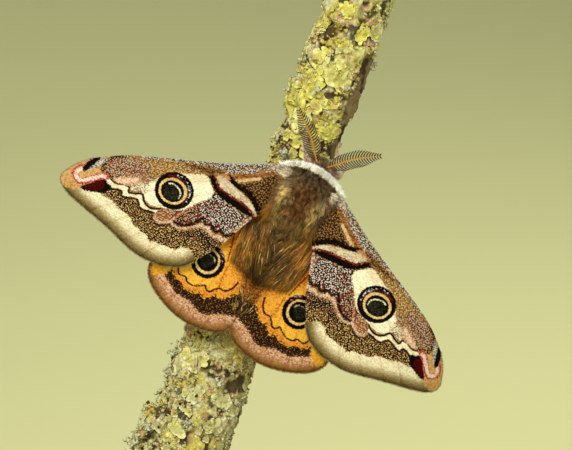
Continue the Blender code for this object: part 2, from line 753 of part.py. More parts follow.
def antenna_span(share):
    """A ray's length along the shaft: longest from a fifth to the middle, short at the tip."""
    growing = min(1.0, 0.4 + 3.0 * share)
    shrinking = 1.0 - 0.75 * smooth_step((share - 0.5) / 0.55)
    return ANTENNA_RAY_LENGTH * growing * shrinking


def antenna_rays(side):
    """Two rows of rays, the rear row flat and the front row lifted, both swept towards the tip."""
    curve = Curve(antenna_line(side))
    rays = []
    for row in (-1.0, 1.0):
        for n in range(ANTENNA_RAYS):
            share = spread(ANTENNA_RAY_SPAN, n, ANTENNA_RAYS)
            along = curve.tangent(share)
            flat, over = frame_across(along, Vector((0, 0, 1)))
            lift = math.radians(ANTENNA_FRONT_LIFT) if row * SIDES[side] < 0 else 0.0
            out = flat * row * math.cos(lift) + over * math.sin(lift)
            sweep = math.radians(ANTENNA_RAY_SWEEP)
            way = out * math.cos(sweep) + along * math.sin(sweep)
            length = antenna_span(share)
            root = curve.at(share)
            outwards, onwards = ANTENNA_RAY_MIDDLE
            middle = root + (out * outwards + along * onwards).normalized() * length * ANTENNA_RAY_BEND
            rings = []
            for centre, size in ((root, 1.0), (middle, ANTENNA_RAY_TAPER)):
                wide = along * ANTENNA_RAY_WIDTH * size / 2
                thick = out.cross(along).normalized() * ANTENNA_RAY_WIDTH * size / 2
                rings.append([centre + wide, centre + thick, centre - wide, centre - thick])
            rays.append(spike_object("ray", rings, root + way * length))
    return rays


def build_head(looks, frame):
    """Head, eyes and antennae."""
    sockets = [tube("slot", COLLAR_ARC, COLLAR_RADII, 6, 8, grow=GAP + 0.1)]
    for side in SIDES:
        centre, radii = mirrored(EYE_CENTRE, side), Vector((EYE_RADIUS,) * 3)
        finish(ellipsoid(f"eye_{side}", centre, radii, 12, 8), looks["eye"], frame)
        sockets.append(ellipsoid("socket", centre, radii, 12, 8, grow=GAP))
        shaft = tube("shaft", antenna_line(side), ANTENNA_SHAFT_RADII, 6, 8)
        node(f"antenna_{side}", [shaft] + antenna_rays(side), [], looks["antenna"], frame)
        sockets.append(tube("socket", antenna_line(side), ANTENNA_SHAFT_RADII, 6, 8, grow=GAP + 0.1))
    core = ellipsoid("core", HEAD_CENTRE, HEAD_CORE, 14, 9)
    locks = coat_of_locks(HEAD_CENTRE, HEAD_CORE, HEAD_ROWS, HEAD_LOCK_WIDTH, seed=3)
    node("head", [core] + locks, sockets, looks["fur"], frame)


def collar_locks():
    """The collar's locks, which stand up from the band and lean back over the thorax."""
    curve = Curve(COLLAR_ARC)
    locks = []
    for n in range(COLLAR_LOCKS):
        centre = curve.at(spread(COLLAR_LOCK_SPAN, n, COLLAR_LOCKS))
        out = Vector((centre.x, 0.0, centre.z - THORAX_CENTRE.z)).normalized()
        back = (out * COLLAR_LOCK_LEAN[0] + Vector((0, COLLAR_LOCK_LEAN[1], 0))).normalized()
        spine = [centre + back * COLLAR_LOCK_LENGTH * along for _, _, _, along in LOCK_STATIONS]
        locks.append(lock(spine, [Vector((0, 1, 0.2))] * len(spine), COLLAR_LOCK_WIDTH))
    return locks


def build_collar(looks, frame):
    """The white band of hair between head and thorax, cut clear of the forewings."""
    band = tube("collar", COLLAR_ARC, COLLAR_RADII, 8, 14)
    slots = [forewing(side).slot(SLOT_GAP) for side in SIDES]
    node("collar", [band] + collar_locks(), slots, looks["collar"], frame)


def build_abdomen(looks, frame):
    """The abdomen under the hindwings, kept clear of them and of the branch."""
    core = ellipsoid("core", ABDOMEN_CENTRE, ABDOMEN_CORE, 14, 12)
    locks = coat_of_locks(ABDOMEN_CENTRE, ABDOMEN_CORE, ABDOMEN_ROWS, ABDOMEN_LOCK_WIDTH, seed=5)
    node("abdomen", [core] + locks, [], looks["fur"], frame)


@functools.cache
def branch_curve():
    """The branch's middle line."""
    return Curve([(x, 0.0, z) for x, z, _ in BRANCH_LINE])


def branch_radius(share):
    """The branch's radius at a share of its length, before its knots."""
    return read_along([r for _, _, r in BRANCH_LINE], share)


def branch_point(share, angle, extra=0.0):
    """A point of the branch's surface in the world frame, in millimetres, and the way out there."""
    curve = branch_curve()
    radius = branch_radius(share)
    tangent = curve.tangent(share)
    side = tangent.cross(Vector((0, 1, 0))).normalized()
    front = Vector((0, -1, 0))
    turn = math.radians(angle)
    out = front * math.cos(turn) + side * -math.sin(turn)
    centre = curve.at(share)
    for knot_share, knot_angle, swell, reach in BRANCH_KNOTS:
        apart_along = (share - knot_share) * curve.lengths[-1]
        apart_round = math.radians((angle - knot_angle + 180) % 360 - 180) * radius
        radius += swell * math.exp(-(apart_along**2 + apart_round**2) / (2 * (reach / 2) ** 2))
    radius += BRANCH_ROUGHNESS * noise.noise((centre + out * radius) * BARK_GRAIN)
    placed = centre + out * (radius + extra)
    return placed + Vector((BRANCH_SHIFT, 0.0, VIEW_HEIGHT)), out


def lichen_plate(share, angle, radius, height, number):
    """A leafy plate that lies on the bark with a lobed, raised rim."""
    length = branch_curve().lengths[-1]
    bark = branch_radius(share)

    def spot(turn, reach, over):
        lobes = 1.0 + PLATE_LOBE_DEPTH * math.sin(PLATE_LOBES * turn + number)
        wide = reach * radius * lobes
        along = share + wide * math.cos(turn) / length
        around = angle + math.degrees(wide * math.sin(turn) / bark)
        return branch_point(along, around, over)[0]

    turns = [2 * math.pi * k / PLATE_POINTS for k in range(PLATE_POINTS)]
    points = []
    for reach, lift, depth in PLATE_RINGS:
        points += [spot(turn, reach, height * lift - depth) for turn in turns]
    points += [spot(0.0, 0.0, -PLATE_ROOT_DEPTH), spot(0.0, 0.0, height * PLATE_MIDDLE)]
    faces = []
    for k in range(PLATE_POINTS):
        following = (k + 1) % PLATE_POINTS
        for ring in (0, 1):
            a, b = ring * PLATE_POINTS + k, ring * PLATE_POINTS + following
            faces.append((a, b, b + PLATE_POINTS))
            faces.append((a, b + PLATE_POINTS, a + PLATE_POINTS))
        faces.append((following, k, 3 * PLATE_POINTS))
        faces.append((2 * PLATE_POINTS + k, 2 * PLATE_POINTS + following, 3 * PLATE_POINTS + 1))
    return mesh_object("plate", points, faces)


def build_branch(looks):
    """The cut length of branch, level at its lower end, where the rod meets it."""
    rings = []
    foot = BRANCH_LINE[0][1] + VIEW_HEIGHT
    for i in range(BRANCH_RINGS + 1):
        share = i / BRANCH_RINGS
        ring = [branch_point(share, 360 * n / BRANCH_SIDES)[0] for n in range(BRANCH_SIDES)]
        if i == 0:
            for point in ring:
                point.z = foot
        rings.append(ring)
    clear = foot + BRANCH_FOOT_CLEAR
    rings = rings[:1] + [ring for ring in rings[1:] if min(point.z for point in ring) > clear]
    wood = rings_object("wood", rings)
    plates = [lichen_plate(*plate, number) for number, plate in enumerate(LICHEN_PLATES)]
    node("perch_branch", [wood] + plates, [], looks["bark"], None)


def moth_frame():
    """The empty that carries the moth, head up and back to the front."""
    frame = bpy.data.objects.new("moth_frame", None)
    bpy.context.scene.collection.objects.link(frame)
    lean = math.radians(MOTH_TILT)
    right = Vector((math.cos(lean), 0, -math.sin(lean)))
    ahead = Vector((math.sin(lean), 0, math.cos(lean)))
    back = Vector((0, -1, 0))
    turn = Matrix((right, ahead, back)).transposed()
    frame.location = Vector((MOTH_RIGHT, -MOTH_OUT, VIEW_HEIGHT + MOTH_UP)) * MM
    frame.rotation_euler = turn.to_euler()
    return frame, turn


def branch_in_moth(turn, moth_y, angle, extra):
    """The branch's surface beside a place on the body, in the moth's frame."""
    origin = Vector((MOTH_RIGHT, -MOTH_OUT, VIEW_HEIGHT + MOTH_UP))
    low, high = BRANCH_SEARCH
    for _ in range(BRANCH_SEARCH_STEPS):
        share = (low + high) / 2
        point, out = branch_point(share, angle, extra)
        local = turn.transposed() @ (point - origin)
        if local.y < moth_y:
            low = share
        else:
            high = share
    return local, turn.transposed() @ out


def leg_line(leg, side, turn):
    """A leg's line: hip, knee, down to the branch and along it."""
    angle = leg["foot_angle"][side]
    clear = LEG_RADII[-1] + GAP + LEG_CLEAR
    heel, out = branch_in_moth(turn, leg["foot_y"], angle, clear + 0.1)
    toe, _ = branch_in_moth(turn, leg["foot_y"] + leg["toe"], angle, clear)
    root, knee = mirrored(leg["root"], side), mirrored(leg["knee"][side], side)
    thigh = root.lerp(knee, 0.5) + Vector((0, 0, LEG_ARCH))
    shin = knee.lerp(heel, SHIN_PLACE) + out * SHIN_BOW
    return [root, thigh, knee, shin, heel, toe]


def build_legs(looks, frame, turn):
    """The six legs. It returns the slots that they need in the thorax."""
    slots = []
    for name, leg in LEGS.items():
        for side in SIDES:
            line = leg_line(leg, side, turn)
            obj = tube(f"leg_{name}_{side}", line, LEG_RADII, LEG_SIDES, LEG_RINGS)
            finish(obj, looks["leg"], frame)
            slots.append(tube("slot", line[:3], LEG_RADII[:4], LEG_SIDES, 4, grow=GAP + 0.1))
    return slots


def build_thorax(looks, frame, slots):
    """The thorax, cut clear of all that grows from it. It's given the slots of the legs."""
    for side in SIDES:
        slots.append(forewing(side).slot(SLOT_GAP))
        slots.append(hindwing(side).slot(HIND_LOCK_HEIGHT + LOCK_THICKNESS / 2 + GAP))
    slots.append(tube("slot", COLLAR_ARC, COLLAR_RADII, 6, 8, grow=GAP + 0.1))
    slots.append(ellipsoid("slot", ABDOMEN_CENTRE, ABDOMEN_CORE, 10, 8, grow=GAP + ABDOMEN_ROWS[0][3]))
    slots.append(ellipsoid("slot", HEAD_CENTRE, HEAD_CORE, 10, 6, grow=GAP + HEAD_ROWS[0][3] + 0.1))
    core = ellipsoid("core", THORAX_CENTRE, THORAX_CORE, 16, 10, blunt=THORAX_BLUNT)
    locks = coat_of_locks(THORAX_CENTRE, THORAX_CORE, THORAX_ROWS, THORAX_LOCK_WIDTH, 7, THORAX_BLUNT)
    node("thorax", [core] + locks, slots, looks["fur"], frame)


def lathe(name, centre, profile, steps=20):
    """A round solid turned about a vertical line, from (radius, height) pairs."""
    rings = []
    for radius, height in profile:
        ring = []
        for n in range(steps):
            turn = 2 * math.pi * n / steps
            ring.append(centre + Vector((radius * math.cos(turn), radius * math.sin(turn), height)))
        rings.append(ring)
    return rings_object(name, rings)


def build_stand(looks):
    """The flat base and the one rod up to the branch."""
    shape = bmesh.new()
    corners = []
    steps = 6
    for sx, sy in ((1, 1), (-1, 1), (-1, -1), (1, -1)):
        centre = Vector((sx * (BASE_LENGTH / 2 - BASE_CORNER), sy * (BASE_DEPTH / 2 - BASE_CORNER), 0))
        start = {(1, 1): 0, (-1, 1): 90, (-1, -1): 180, (1, -1): 270}[(sx, sy)]
        for k in range(steps + 1):
            turn = math.radians(start + 90 * k / steps)
            corners.append(centre + Vector((math.cos(turn), math.sin(turn), 0)) * BASE_CORNER)
    face = shape.faces.new([shape.verts.new(c * MM) for c in corners])
    raised = bmesh.ops.extrude_face_region(shape, geom=[face])
    lifted = [v for v in raised["geom"] if isinstance(v, bmesh.types.BMVert)]
    bmesh.ops.translate(shape, verts=lifted, vec=Vector((0, 0, BASE_HEIGHT * MM)))
    bmesh.ops.recalc_face_normals(shape, faces=shape.faces)
    upper = [e for e in shape.edges if all(v.co.z > BASE_HEIGHT * MM * 0.5 for v in e.verts)]
    bmesh.ops.bevel(shape, geom=upper, offset=BASE_BEVEL * MM, segments=3, profile=0.5, affect="EDGES")
    mesh = bpy.data.meshes.new("stand_base")
    shape.to_mesh(mesh)
    shape.free()
    base = bpy.data.objects.new("stand_base", mesh)
    bpy.context.scene.collection.objects.link(base)
    finish(base, looks["base"], None)

    foot = BASE_HEIGHT + GAP
    top = VIEW_HEIGHT + BRANCH_LINE[0][1] - GAP
    centre = Vector((BRANCH_SHIFT + BRANCH_LINE[0][0], 0, 0))
    profile = [
        (ROD_FOOT_RADIUS, foot),
        (ROD_FOOT_RADIUS, foot + ROD_FOOT_HEIGHT * 0.6),
        (ROD_FOOT_RADIUS - 0.7, foot + ROD_FOOT_HEIGHT),
        (ROD_RADIUS, foot + ROD_FOOT_HEIGHT),
        (ROD_RADIUS, top - ROD_CAP_HEIGHT - 0.3),
        (ROD_RADIUS + ROD_CAP_REACH, top - ROD_CAP_HEIGHT),
        (ROD_RADIUS + ROD_CAP_REACH, top),
    ]
    rod = lathe("stand_rod", centre, profile)
    finish(rod, looks["rod"], None)


def main():
    """Builds every node."""
    clear_scene()
    looks = {
        "fur": material("moth_fur", (0.28, 0.2, 0.11), 0.9),
        "collar": material("collar_fur", (0.8, 0.77, 0.7), 0.9),
        "eye": material("eye", (0.03, 0.025, 0.02), 0.2),
        "antenna": material("antenna", (0.5, 0.32, 0.1), 0.6),
        "forewing": material("forewing_scales", (0.42, 0.34, 0.28), 0.8),
        "hindwing": material("hindwing_scales", (0.8, 0.42, 0.1), 0.8),
        "leg": material("leg_fur", (0.45, 0.36, 0.28), 0.9),
        "bark": material("lichened_bark", (0.6, 0.6, 0.32), 0.95),
        "base": material("base_wood", (0.16, 0.09, 0.05), 0.4),
        "rod": material("rod_brass", (0.75, 0.6, 0.32), 0.3, 1.0),
    }
    frame, turn = moth_frame()
    build_wings(looks, frame)
    slots = build_legs(looks, frame, turn)
    build_head(looks, frame)
    build_collar(looks, frame)
    build_abdomen(looks, frame)
    build_thorax(looks, frame, slots)
    build_branch(looks)
    build_stand(looks)


main()
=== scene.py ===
"""The looks of a male emperor moth at rest on a lichened branch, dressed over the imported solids.

The moth has a frame of its own, in millimetres: +X to its right, +Y towards its head and +Z out of
its back. Its wings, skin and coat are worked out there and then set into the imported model's frame,
which is in metres.
"""

import sys
import logging
import math
from dataclasses import dataclass, field
from enum import Enum
from functools import partial
from typing import Sequence

import bpy
import numpy as np
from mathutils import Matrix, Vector, noise
from mathutils.bvhtree import BVHTree


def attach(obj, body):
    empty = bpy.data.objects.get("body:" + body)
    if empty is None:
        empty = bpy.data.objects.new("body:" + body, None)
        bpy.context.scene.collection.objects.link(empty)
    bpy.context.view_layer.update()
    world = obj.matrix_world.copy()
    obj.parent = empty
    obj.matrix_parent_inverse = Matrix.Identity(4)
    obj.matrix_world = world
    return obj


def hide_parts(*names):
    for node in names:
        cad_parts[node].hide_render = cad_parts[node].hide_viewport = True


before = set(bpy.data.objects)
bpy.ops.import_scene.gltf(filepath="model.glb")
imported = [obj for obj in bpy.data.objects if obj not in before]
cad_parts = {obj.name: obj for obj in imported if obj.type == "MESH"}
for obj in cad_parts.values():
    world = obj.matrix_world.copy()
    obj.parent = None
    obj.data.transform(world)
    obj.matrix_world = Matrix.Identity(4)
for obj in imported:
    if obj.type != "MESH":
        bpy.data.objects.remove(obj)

LOG = logging.getLogger("moth")
MM = 0.001

Triple = tuple[float, float, float]
Colour = Triple
Points = Sequence[Sequence[float]]
Array = np.ndarray
Shape = tuple[Array, Array]
Piece = bpy.types.Object
Look = bpy.types.Material
Socket = bpy.types.NodeSocket


def tone(red: int, green: int, blue: int) -> Colour:
    """The linear colour of display values from 0 to 255."""
    shares = (value / 255 for value in (red, green, blue))
    return tuple(s / 12.92 if s <= 0.04045 else ((s + 0.055) / 1.055) ** 2.4 for s in shares)


def smooth_step(value: Array) -> Array:
    """A smooth rise from 0 to 1 as a value does the same."""
    value = np.clip(value, 0.0, 1.0)
    return value * value * (3.0 - 2.0 * value)


def unit(rows: Array) -> Array:
    """Each row scaled to length 1."""
    return rows / np.maximum(np.linalg.norm(rows, axis=-1, keepdims=True), 1e-9)


def level_with(spots: Array, height: float = 0.0) -> Array:
    """Places in a plane as places in space at this height."""
    return np.column_stack((spots, np.full(len(spots), height)))


class Side(Enum):
    """The two sides of the moth, by the sign of X."""

    LEFT = -1.0
    RIGHT = 1.0

    @property
    def word(self) -> str:
        """The side's name as the solids have it."""
        return self.name.lower()


@dataclass(frozen=True)
class MothFrame:
    """The moth's own frame, set head up and back to the front on the slanted branch."""

    tilt: float = math.radians(29.3)
    origin: Triple = (8.43, -5.4, 56.8)

    @property
    def axes(self) -> Array:
        """The rows are the moth's right, ahead and back in the model's frame."""
        c, s = math.cos(self.tilt), math.sin(self.tilt)
        return np.array(((c, 0.0, -s), (s, 0.0, c), (0.0, -1.0, 0.0)))

    def out(self, points: Array) -> Array:
        """Points of the moth in millimetres, set into the model's frame in metres."""
        return (np.asarray(points) @ self.axes + np.array(self.origin)) * MM

    def back(self, points: Array) -> Array:
        """Points of the model in metres, read in the moth's frame in millimetres."""
        return (np.asarray(points) / MM - np.array(self.origin)) @ self.axes.T


MOTH = MothFrame()


class Spline:
    """A smooth curve through points, read by the share of its length."""

    STEPS = 16
    NEAR = 0.01

    def __init__(self, points: Points, closed: bool = False) -> None:
        """Lays the curve.

        Args:
            points: The points that it passes.
            closed: True where it comes back to its start.
        """
        knots = np.array(points, float)
        around = np.vstack((knots[-1:], knots, knots[:2]) if closed else (knots[:1], knots, knots[-1:]))
        steps = np.linspace(0.0, 1.0, self.STEPS, endpoint=False)[:, None]
        spans = []
        for p0, p1, p2, p3 in zip(around, around[1:], around[2:], around[3:]):
            bend = (2 * p0 - 5 * p1 + 4 * p2 - p3) * steps**2 + (3 * p1 - p0 - 3 * p2 + p3) * steps**3
            spans.append(0.5 * (2 * p1 + (p2 - p0) * steps + bend))
        self.dense = np.vstack((*spans, around[-2:-1]))
        self.lengths = np.append(0.0, np.cumsum(np.linalg.norm(np.diff(self.dense, axis=0), axis=1)))

    def at(self, shares: Array) -> Array:
        """The points at these shares of the curve's length."""
        wanted = np.asarray(shares) * self.lengths[-1]
        return np.stack([np.interp(wanted, self.lengths, axis) for axis in self.dense.T], axis=-1)

    def tangent(self, shares: Array) -> Array:
        """The directions of travel at these shares."""
        ahead, behind = (self.at(np.clip(np.asarray(shares) + near, 0.0, 1.0)) for near in (self.NEAR, -self.NEAR))
        return unit(ahead - behind)


def distance_to_line(spots: Array, line: Array) -> Array:
    """How far spots lie from a broken line.

    Args:
        spots: The spots, one a row.
        line: The line's points, one a row.

    Returns:
        The least distance of each spot.
    """
    least = np.full(len(spots), np.inf)
    for a, b in zip(line, line[1:]):
        span = b - a
        share = np.clip(((spots - a) @ span) / max(span @ span, 1e-12), 0.0, 1.0)
        least = np.minimum(least, np.linalg.norm(spots - a - share[:, None] * span, axis=1))
    return least


def inside(spots: Array, ring: Array) -> Array:
    """Tells which spots lie inside a ring.

    Args:
        spots: The spots, one a row.
        ring: The ring's points, one a row.

    Returns:
        True for each spot inside.
    """
    crossings = np.zeros(len(spots), int)
    for a, b in zip(ring, np.roll(ring, -1, axis=0)):
        spans = (a[1] > spots[:, 1]) != (b[1] > spots[:, 1])
        rise = b[1] - a[1] if b[1] != a[1] else 1e-12
        crossings += spans & (spots[:, 0] < (b[0] - a[0]) * (spots[:, 1] - a[1]) / rise + a[0])
    return crossings % 2 == 1


def cloud(spots: Array, grain: float, seed: float = 0.0) -> Array:
    """Smooth chance over places, about from -1 to 1, with so many bumps a unit."""
    return np.array([noise.noise(Vector(p) * grain + Vector((seed, -seed, seed * 0.5))) for p in spots])


class NodeKit:
    """Short calls for the nodes of one material."""

    def __init__(self, name: str) -> None:
        """Makes the material.

        Args:
            name: The finish's name.
        """
        self.material = bpy.data.materials.new(name)
        self.material.use_nodes = True
        self.tree = self.material.node_tree
        self.shader = self.tree.nodes["Principled BSDF"]

    def feed(self, socket: Socket, value: object) -> None:
        """Gives a socket its value.

        Args:
            socket: The socket.
            value: A constant, or another node's output.
        """
        if isinstance(value, Socket):
            self.tree.links.new(value, socket)
        elif socket.type == "RGBA":
            socket.default_value = (*value, 1.0)
        else:
            socket.default_value = value

    def node(self, kind: str, fed: dict[str | int, object], output: str | int = 0, **settings: object) -> Socket:
        """Adds a node.

        Args:
            kind: The node's kind.
            fed: What its inputs get.
            output: The output that is wanted.
            **settings: The node's own settings.

        Returns:
            The output's socket.
        """
        node = self.tree.nodes.new("ShaderNode" + kind)
        for key, value in settings.items():
            setattr(node, key, value)
        for key, value in fed.items():
            self.feed(node.inputs[key], value)
        return node.outputs[output]

    def math(self, operation: str, *numbers: object) -> Socket:
        """The result of one sum over its numbers."""
        return self.node("Math", dict(enumerate(numbers)), operation=operation)

    def span(self, value: Socket, low: float, high: float, to: tuple[float, float] = (0.0, 1.0),
             smooth: bool = False) -> Socket:
        """A value spread from one range to another and cut off at its ends."""
        fed = dict(zip(("Value", "From Min", "From Max", "To Min", "To Max"), (value, low, high, *to)))
        return self.node("MapRange", fed, "Result", interpolation_type="SMOOTHSTEP" if smooth else "LINEAR")

    def mix(self, share: object, a: object, b: object, blend: str = "MIX") -> Socket:
        """Two colours mixed by a share."""
        return self.node("Mix", {0: share, 6: a, 7: b}, 2, data_type="RGBA", blend_type=blend)

    def shaded(self, colour: object, level: Socket) -> Socket:
        """A colour times a number."""
        return self.mix(1.0, colour, self.node("CombineColor", dict.fromkeys(range(3), level)), "MULTIPLY")

    def attribute(self, name: str, output: str = "Fac") -> Socket:
        """A value that the mesh carries."""
        return self.node("Attribute", {}, output, attribute_name=name)

    def place(self) -> Socket:
        """The place on the object, in metres."""
        return self.node("TexCoord", {}, "Object")

    def mapped(self, place: Socket, scale: Triple, turn: float = 0.0) -> Socket:
        """A place turned in its plane and stretched."""
        return self.node("Mapping", {"Vector": place, "Rotation": (0.0, 0.0, turn), "Scale": scale})

    def noise(self, place: Socket, scale: float, detail: float = 3.0, rough: float = 0.55) -> Socket:
        """Cloudy noise over a place."""
        return self.node("TexNoise", {"Vector": place, "Scale": scale, "Detail": detail, "Roughness": rough}, "Fac")

    def cells(self, place: Socket, scale: float, uneven: float = 1.0, space: str = "3D") -> tuple[Socket, Socket]:
        """The distance to the middle of a mosaic's cell, and the cell's colour."""
        fed = {"Vector": place, "Scale": scale, "Randomness": uneven}
        return tuple(self.node("TexVoronoi", fed, voronoi_dimensions=space).node.outputs[:2])

    def parts(self, colour: Socket) -> list[Socket]:
        """The three channels of a colour."""
        return list(self.node("SeparateColor", {0: colour}).node.outputs)

    def bump(self, height: Socket, depth: float, strength: float = 1.0, under: Socket | None = None) -> Socket:
        """A bump from a height.

        Args:
            height: The height, from 0 to 1.
            depth: What a height of 1 stands for, in metres.
            strength: The bump's strength.
            under: Another bump that this one lies on.

        Returns:
            The normal's socket.
        """
        fed = {"Strength": strength, "Distance": depth, "Height": height}
        if under is not None:
            fed["Normal"] = under
        return self.node("Bump", fed)

    def finish(self, colour: object, roughness: object, normal: Socket | None = None, **constants: float) -> Look:
        """Feeds the shader.

        Args:
            colour: The base colour.
            roughness: The roughness.
            normal: The bump, if any.
            **constants: The shader's other sockets by name, with _ for a space.

        Returns:
            The material.
        """
        fed = {"Base Color": colour, "Roughness": roughness, "Normal": normal, **constants}
        for name, value in fed.items():
            if value is not None:
                self.feed(self.shader.inputs[name.replace("_", " ")], value)
        return self.material


def read(items: Sequence[object], key: str, width: int = 1, kind: type = np.int32) -> Array:
    """Reads a mesh's list.

    Args:
        items: The list.
        key: What is read of each item.
        width: How many numbers that is.
        kind: The numbers' type.

    Returns:
        The numbers, one row for each item where there is more than one.
    """
    values = np.empty(len(items) * width, kind)
    items.foreach_get(key, values)
    return values.reshape(-1, width) if width > 1 else values


def linked(name: str, mesh: bpy.types.Mesh) -> Piece:
    """Puts a mesh into the scene.

    Args:
        name: The piece's name.
        mesh: The mesh.

    Returns:
        Its object.
    """
    made = bpy.data.objects.new(name, mesh)
    bpy.context.scene.collection.objects.link(made)
    return made


def mesh_object(name: str, points: Array, faces: Array) -> Piece:
    """Makes a smooth shaded mesh object.

    Args:
        name: The piece's name.
        points: Its points in metres, one a row.
        faces: Its faces, all with as many corners, one a row.

    Returns:
        The object.
    """
    mesh = bpy.data.meshes.new(name)
    mesh.vertices.add(len(points))
    mesh.vertices.foreach_set("co", np.asarray(points, np.float32).ravel())
    mesh.loops.add(faces.size)
    mesh.loops.foreach_set("vertex_index", np.asarray(faces, np.int32).ravel())
    mesh.polygons.add(len(faces))
    mesh.polygons.foreach_set("loop_start", np.arange(0, faces.size, faces.shape[1], dtype=np.int32))
    mesh.update(calc_edges=True)
    mesh.validate()
    mesh.shade_smooth()
    return linked(name, mesh)


def mesh_of(piece: Piece) -> Shape:
    """Reads a mesh.

    Args:
        piece: The object.

    Returns:
        Its points in the moth's frame, and its triangles.
    """
    mesh = piece.data
    mesh.calc_loop_triangles()
    return MOTH.back(read(mesh.vertices, "co", 3, np.float32)), read(mesh.loop_triangles, "vertices", 3)


def settled(piece: Piece) -> None:
    """Applies an object's modifiers.

    Args:
        piece: The object.
    """
    whole = bpy.data.meshes.new_from_object(piece.evaluated_get(bpy.context.evaluated_depsgraph_get()))
    piece.modifiers.clear()
    piece.data = whole
    piece.data.shade_smooth()


def remeshed(piece: Piece, cell: float, smooth: int) -> None:
    """Turns a mesh of crossing bodies into one closed skin.

    Args:
        piece: The object.
        cell: The skin's grain in metres.
        smooth: How many times it is smoothed.
    """
    remesh = piece.modifiers.new("one", "REMESH")
    remesh.mode = "VOXEL"
    remesh.voxel_size = cell
    piece.modifiers.new("soft", "SMOOTH").iterations = smooth
    settled(piece)


def carry(piece: Piece, name: str, values: Array) -> None:
    """Stores a value for each point of a mesh.

    Args:
        piece: The object.
        name: The value's name.
        values: One number, or one row of three, for each point.
    """
    values = np.asarray(values, np.float32)
    kind, key = ("FLOAT", "value") if values.ndim == 1 else ("FLOAT_VECTOR", "vector")
    piece.data.attributes.new(name, kind, "POINT").data.foreach_set(key, values.ravel())


def carry_map(piece: Piece, places: Array, period: float = 0.0) -> None:
    """Gives a mesh its map.

    Args:
        piece: The object.
        places: One place of the map for each point.
        period: The width after which the map closes round, where each face is kept whole.
    """
    mesh = piece.data
    laid = places[read(mesh.loops, "vertex_index")]
    if period:
        first = np.repeat(laid[read(mesh.polygons, "loop_start"), 0], read(mesh.polygons, "loop_total"))
        laid[:, 0] -= np.round((laid[:, 0] - first) / period) * period
    mesh.uv_layers.new(name="OFBake").data.foreach_set("uv", laid.astype(np.float32).ravel())


def painted(piece: Piece, look: Look) -> None:
    """Gives a piece, or a solid that stays shown, its material.

    Args:
        piece: The object.
        look: Its material.
    """
    piece.data.materials.clear()
    piece.data.materials.append(look)
    LOG.info("%s: %d faces, %s", piece.name, len(piece.data.polygons), look.name)


def dress(piece: Piece, look: Look, nodes: Sequence[str] = ()) -> None:
    """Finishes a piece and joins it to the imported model.

    Args:
        piece: The object.
        look: Its material.
        nodes: The solids that it stands for.
    """
    painted(piece, look)
    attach(piece, "root")
    if nodes:
        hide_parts(*nodes)


def ring_faces(rows: int, sides: int) -> Array:
    """Joins rings of points that follow each other, and closes the first and the last to a point.

    Args:
        rows: How many rings.
        sides: How many points each has.

    Returns:
        The triangles. The two closing points come after the rings.
    """
    start, low, high = (rows - 1) * sides, rows * sides, rows * sides + 1
    k = np.arange(sides)[:, None]
    after = (k + 1) % sides
    a, b = k + np.arange(0, start, sides), after + np.arange(0, start, sides)
    band = np.stack((a, b, b + sides, a, b + sides, a + sides), axis=-1).reshape(sides, -1, 3)
    ends = np.hstack((after, k, np.full_like(k, low), start + k, start + after, np.full_like(k, high)))
    return np.hstack((band, ends.reshape(sides, 2, 3))).reshape(-1, 3)


def tube_grid(centres: Array, across: Array, over: Array, radii: Array, sides: int) -> Shape:
    """Makes a tube that is closed at both ends.

    Args:
        centres: The middle line, one point a row.
        across: A direction across the line at each point.
        over: The other direction across it.
        radii: The radius at each point.
        sides: The number of points round.

    Returns:
        The points and the faces.
    """
    turns = np.linspace(0.0, 2 * math.pi, sides, endpoint=False)[:, None]
    ring = np.cos(turns) * across[:, None] + np.sin(turns) * over[:, None]
    points = (centres[:, None] + ring * radii[:, None, None]).reshape(-1, 3)
    return np.vstack((points, centres[:1], centres[-1:])), ring_faces(len(centres), sides)


def egg(centre: Points, radii: Points, blunt: float = 1.0, sides: int = 40, rings: int = 24) -> Shape:
    """Makes an ellipsoid along the moth's Y axis.

    Args:
        centre: Its middle.
        radii: Its three radii.
        blunt: Below 1 it is fuller towards its ends.
        sides: Points round it.
        rings: Rings along it.

    Returns:
        Its points and faces.
    """
    steps = np.linspace(0.02, math.pi - 0.02, rings)[:, None]
    middle = np.cos(steps) * (0.0, radii[1], 0.0) + np.array(centre)
    across, over = np.tile((radii[0], 0.0, 0.0), (rings, 1)), np.tile((0.0, 0.0, radii[2]), (rings, 1))
    return tube_grid(middle, across, over, np.sin(steps[:, 0]) ** blunt, sides)


def joined(shapes: Sequence[Shape]) -> Shape:
    """Joins meshes into one.

    Args:
        shapes: The points and faces of each.

    Returns:
        The points and faces of all.
    """
    starts = np.cumsum([0] + [len(points) for points, _ in shapes])
    faces = [own + start for (_, own), start in zip(shapes, starts)]
    return np.vstack([points for points, _ in shapes]), np.vstack(faces)


class Form(Enum):
    """The ways in which a marking is laid out."""

    PATCH = "patch"
    LINE = "line"
    DISC = "disc"


@dataclass(frozen=True)
class Scales:
    """A field of wing scales: two tones side by side, and a few scales of a third."""

    light: Colour
    dark: Colour
    light_share: float = 0.5
    third: Colour = (0.0, 0.0, 0.0)
    third_share: float = 0.0
    speckled: bool = False

    @property
    def reach(self) -> float:
        """How far a light speckle reaches, in speckles, to cover the light share."""
        return 1.04 * math.sqrt(self.light_share / math.pi)


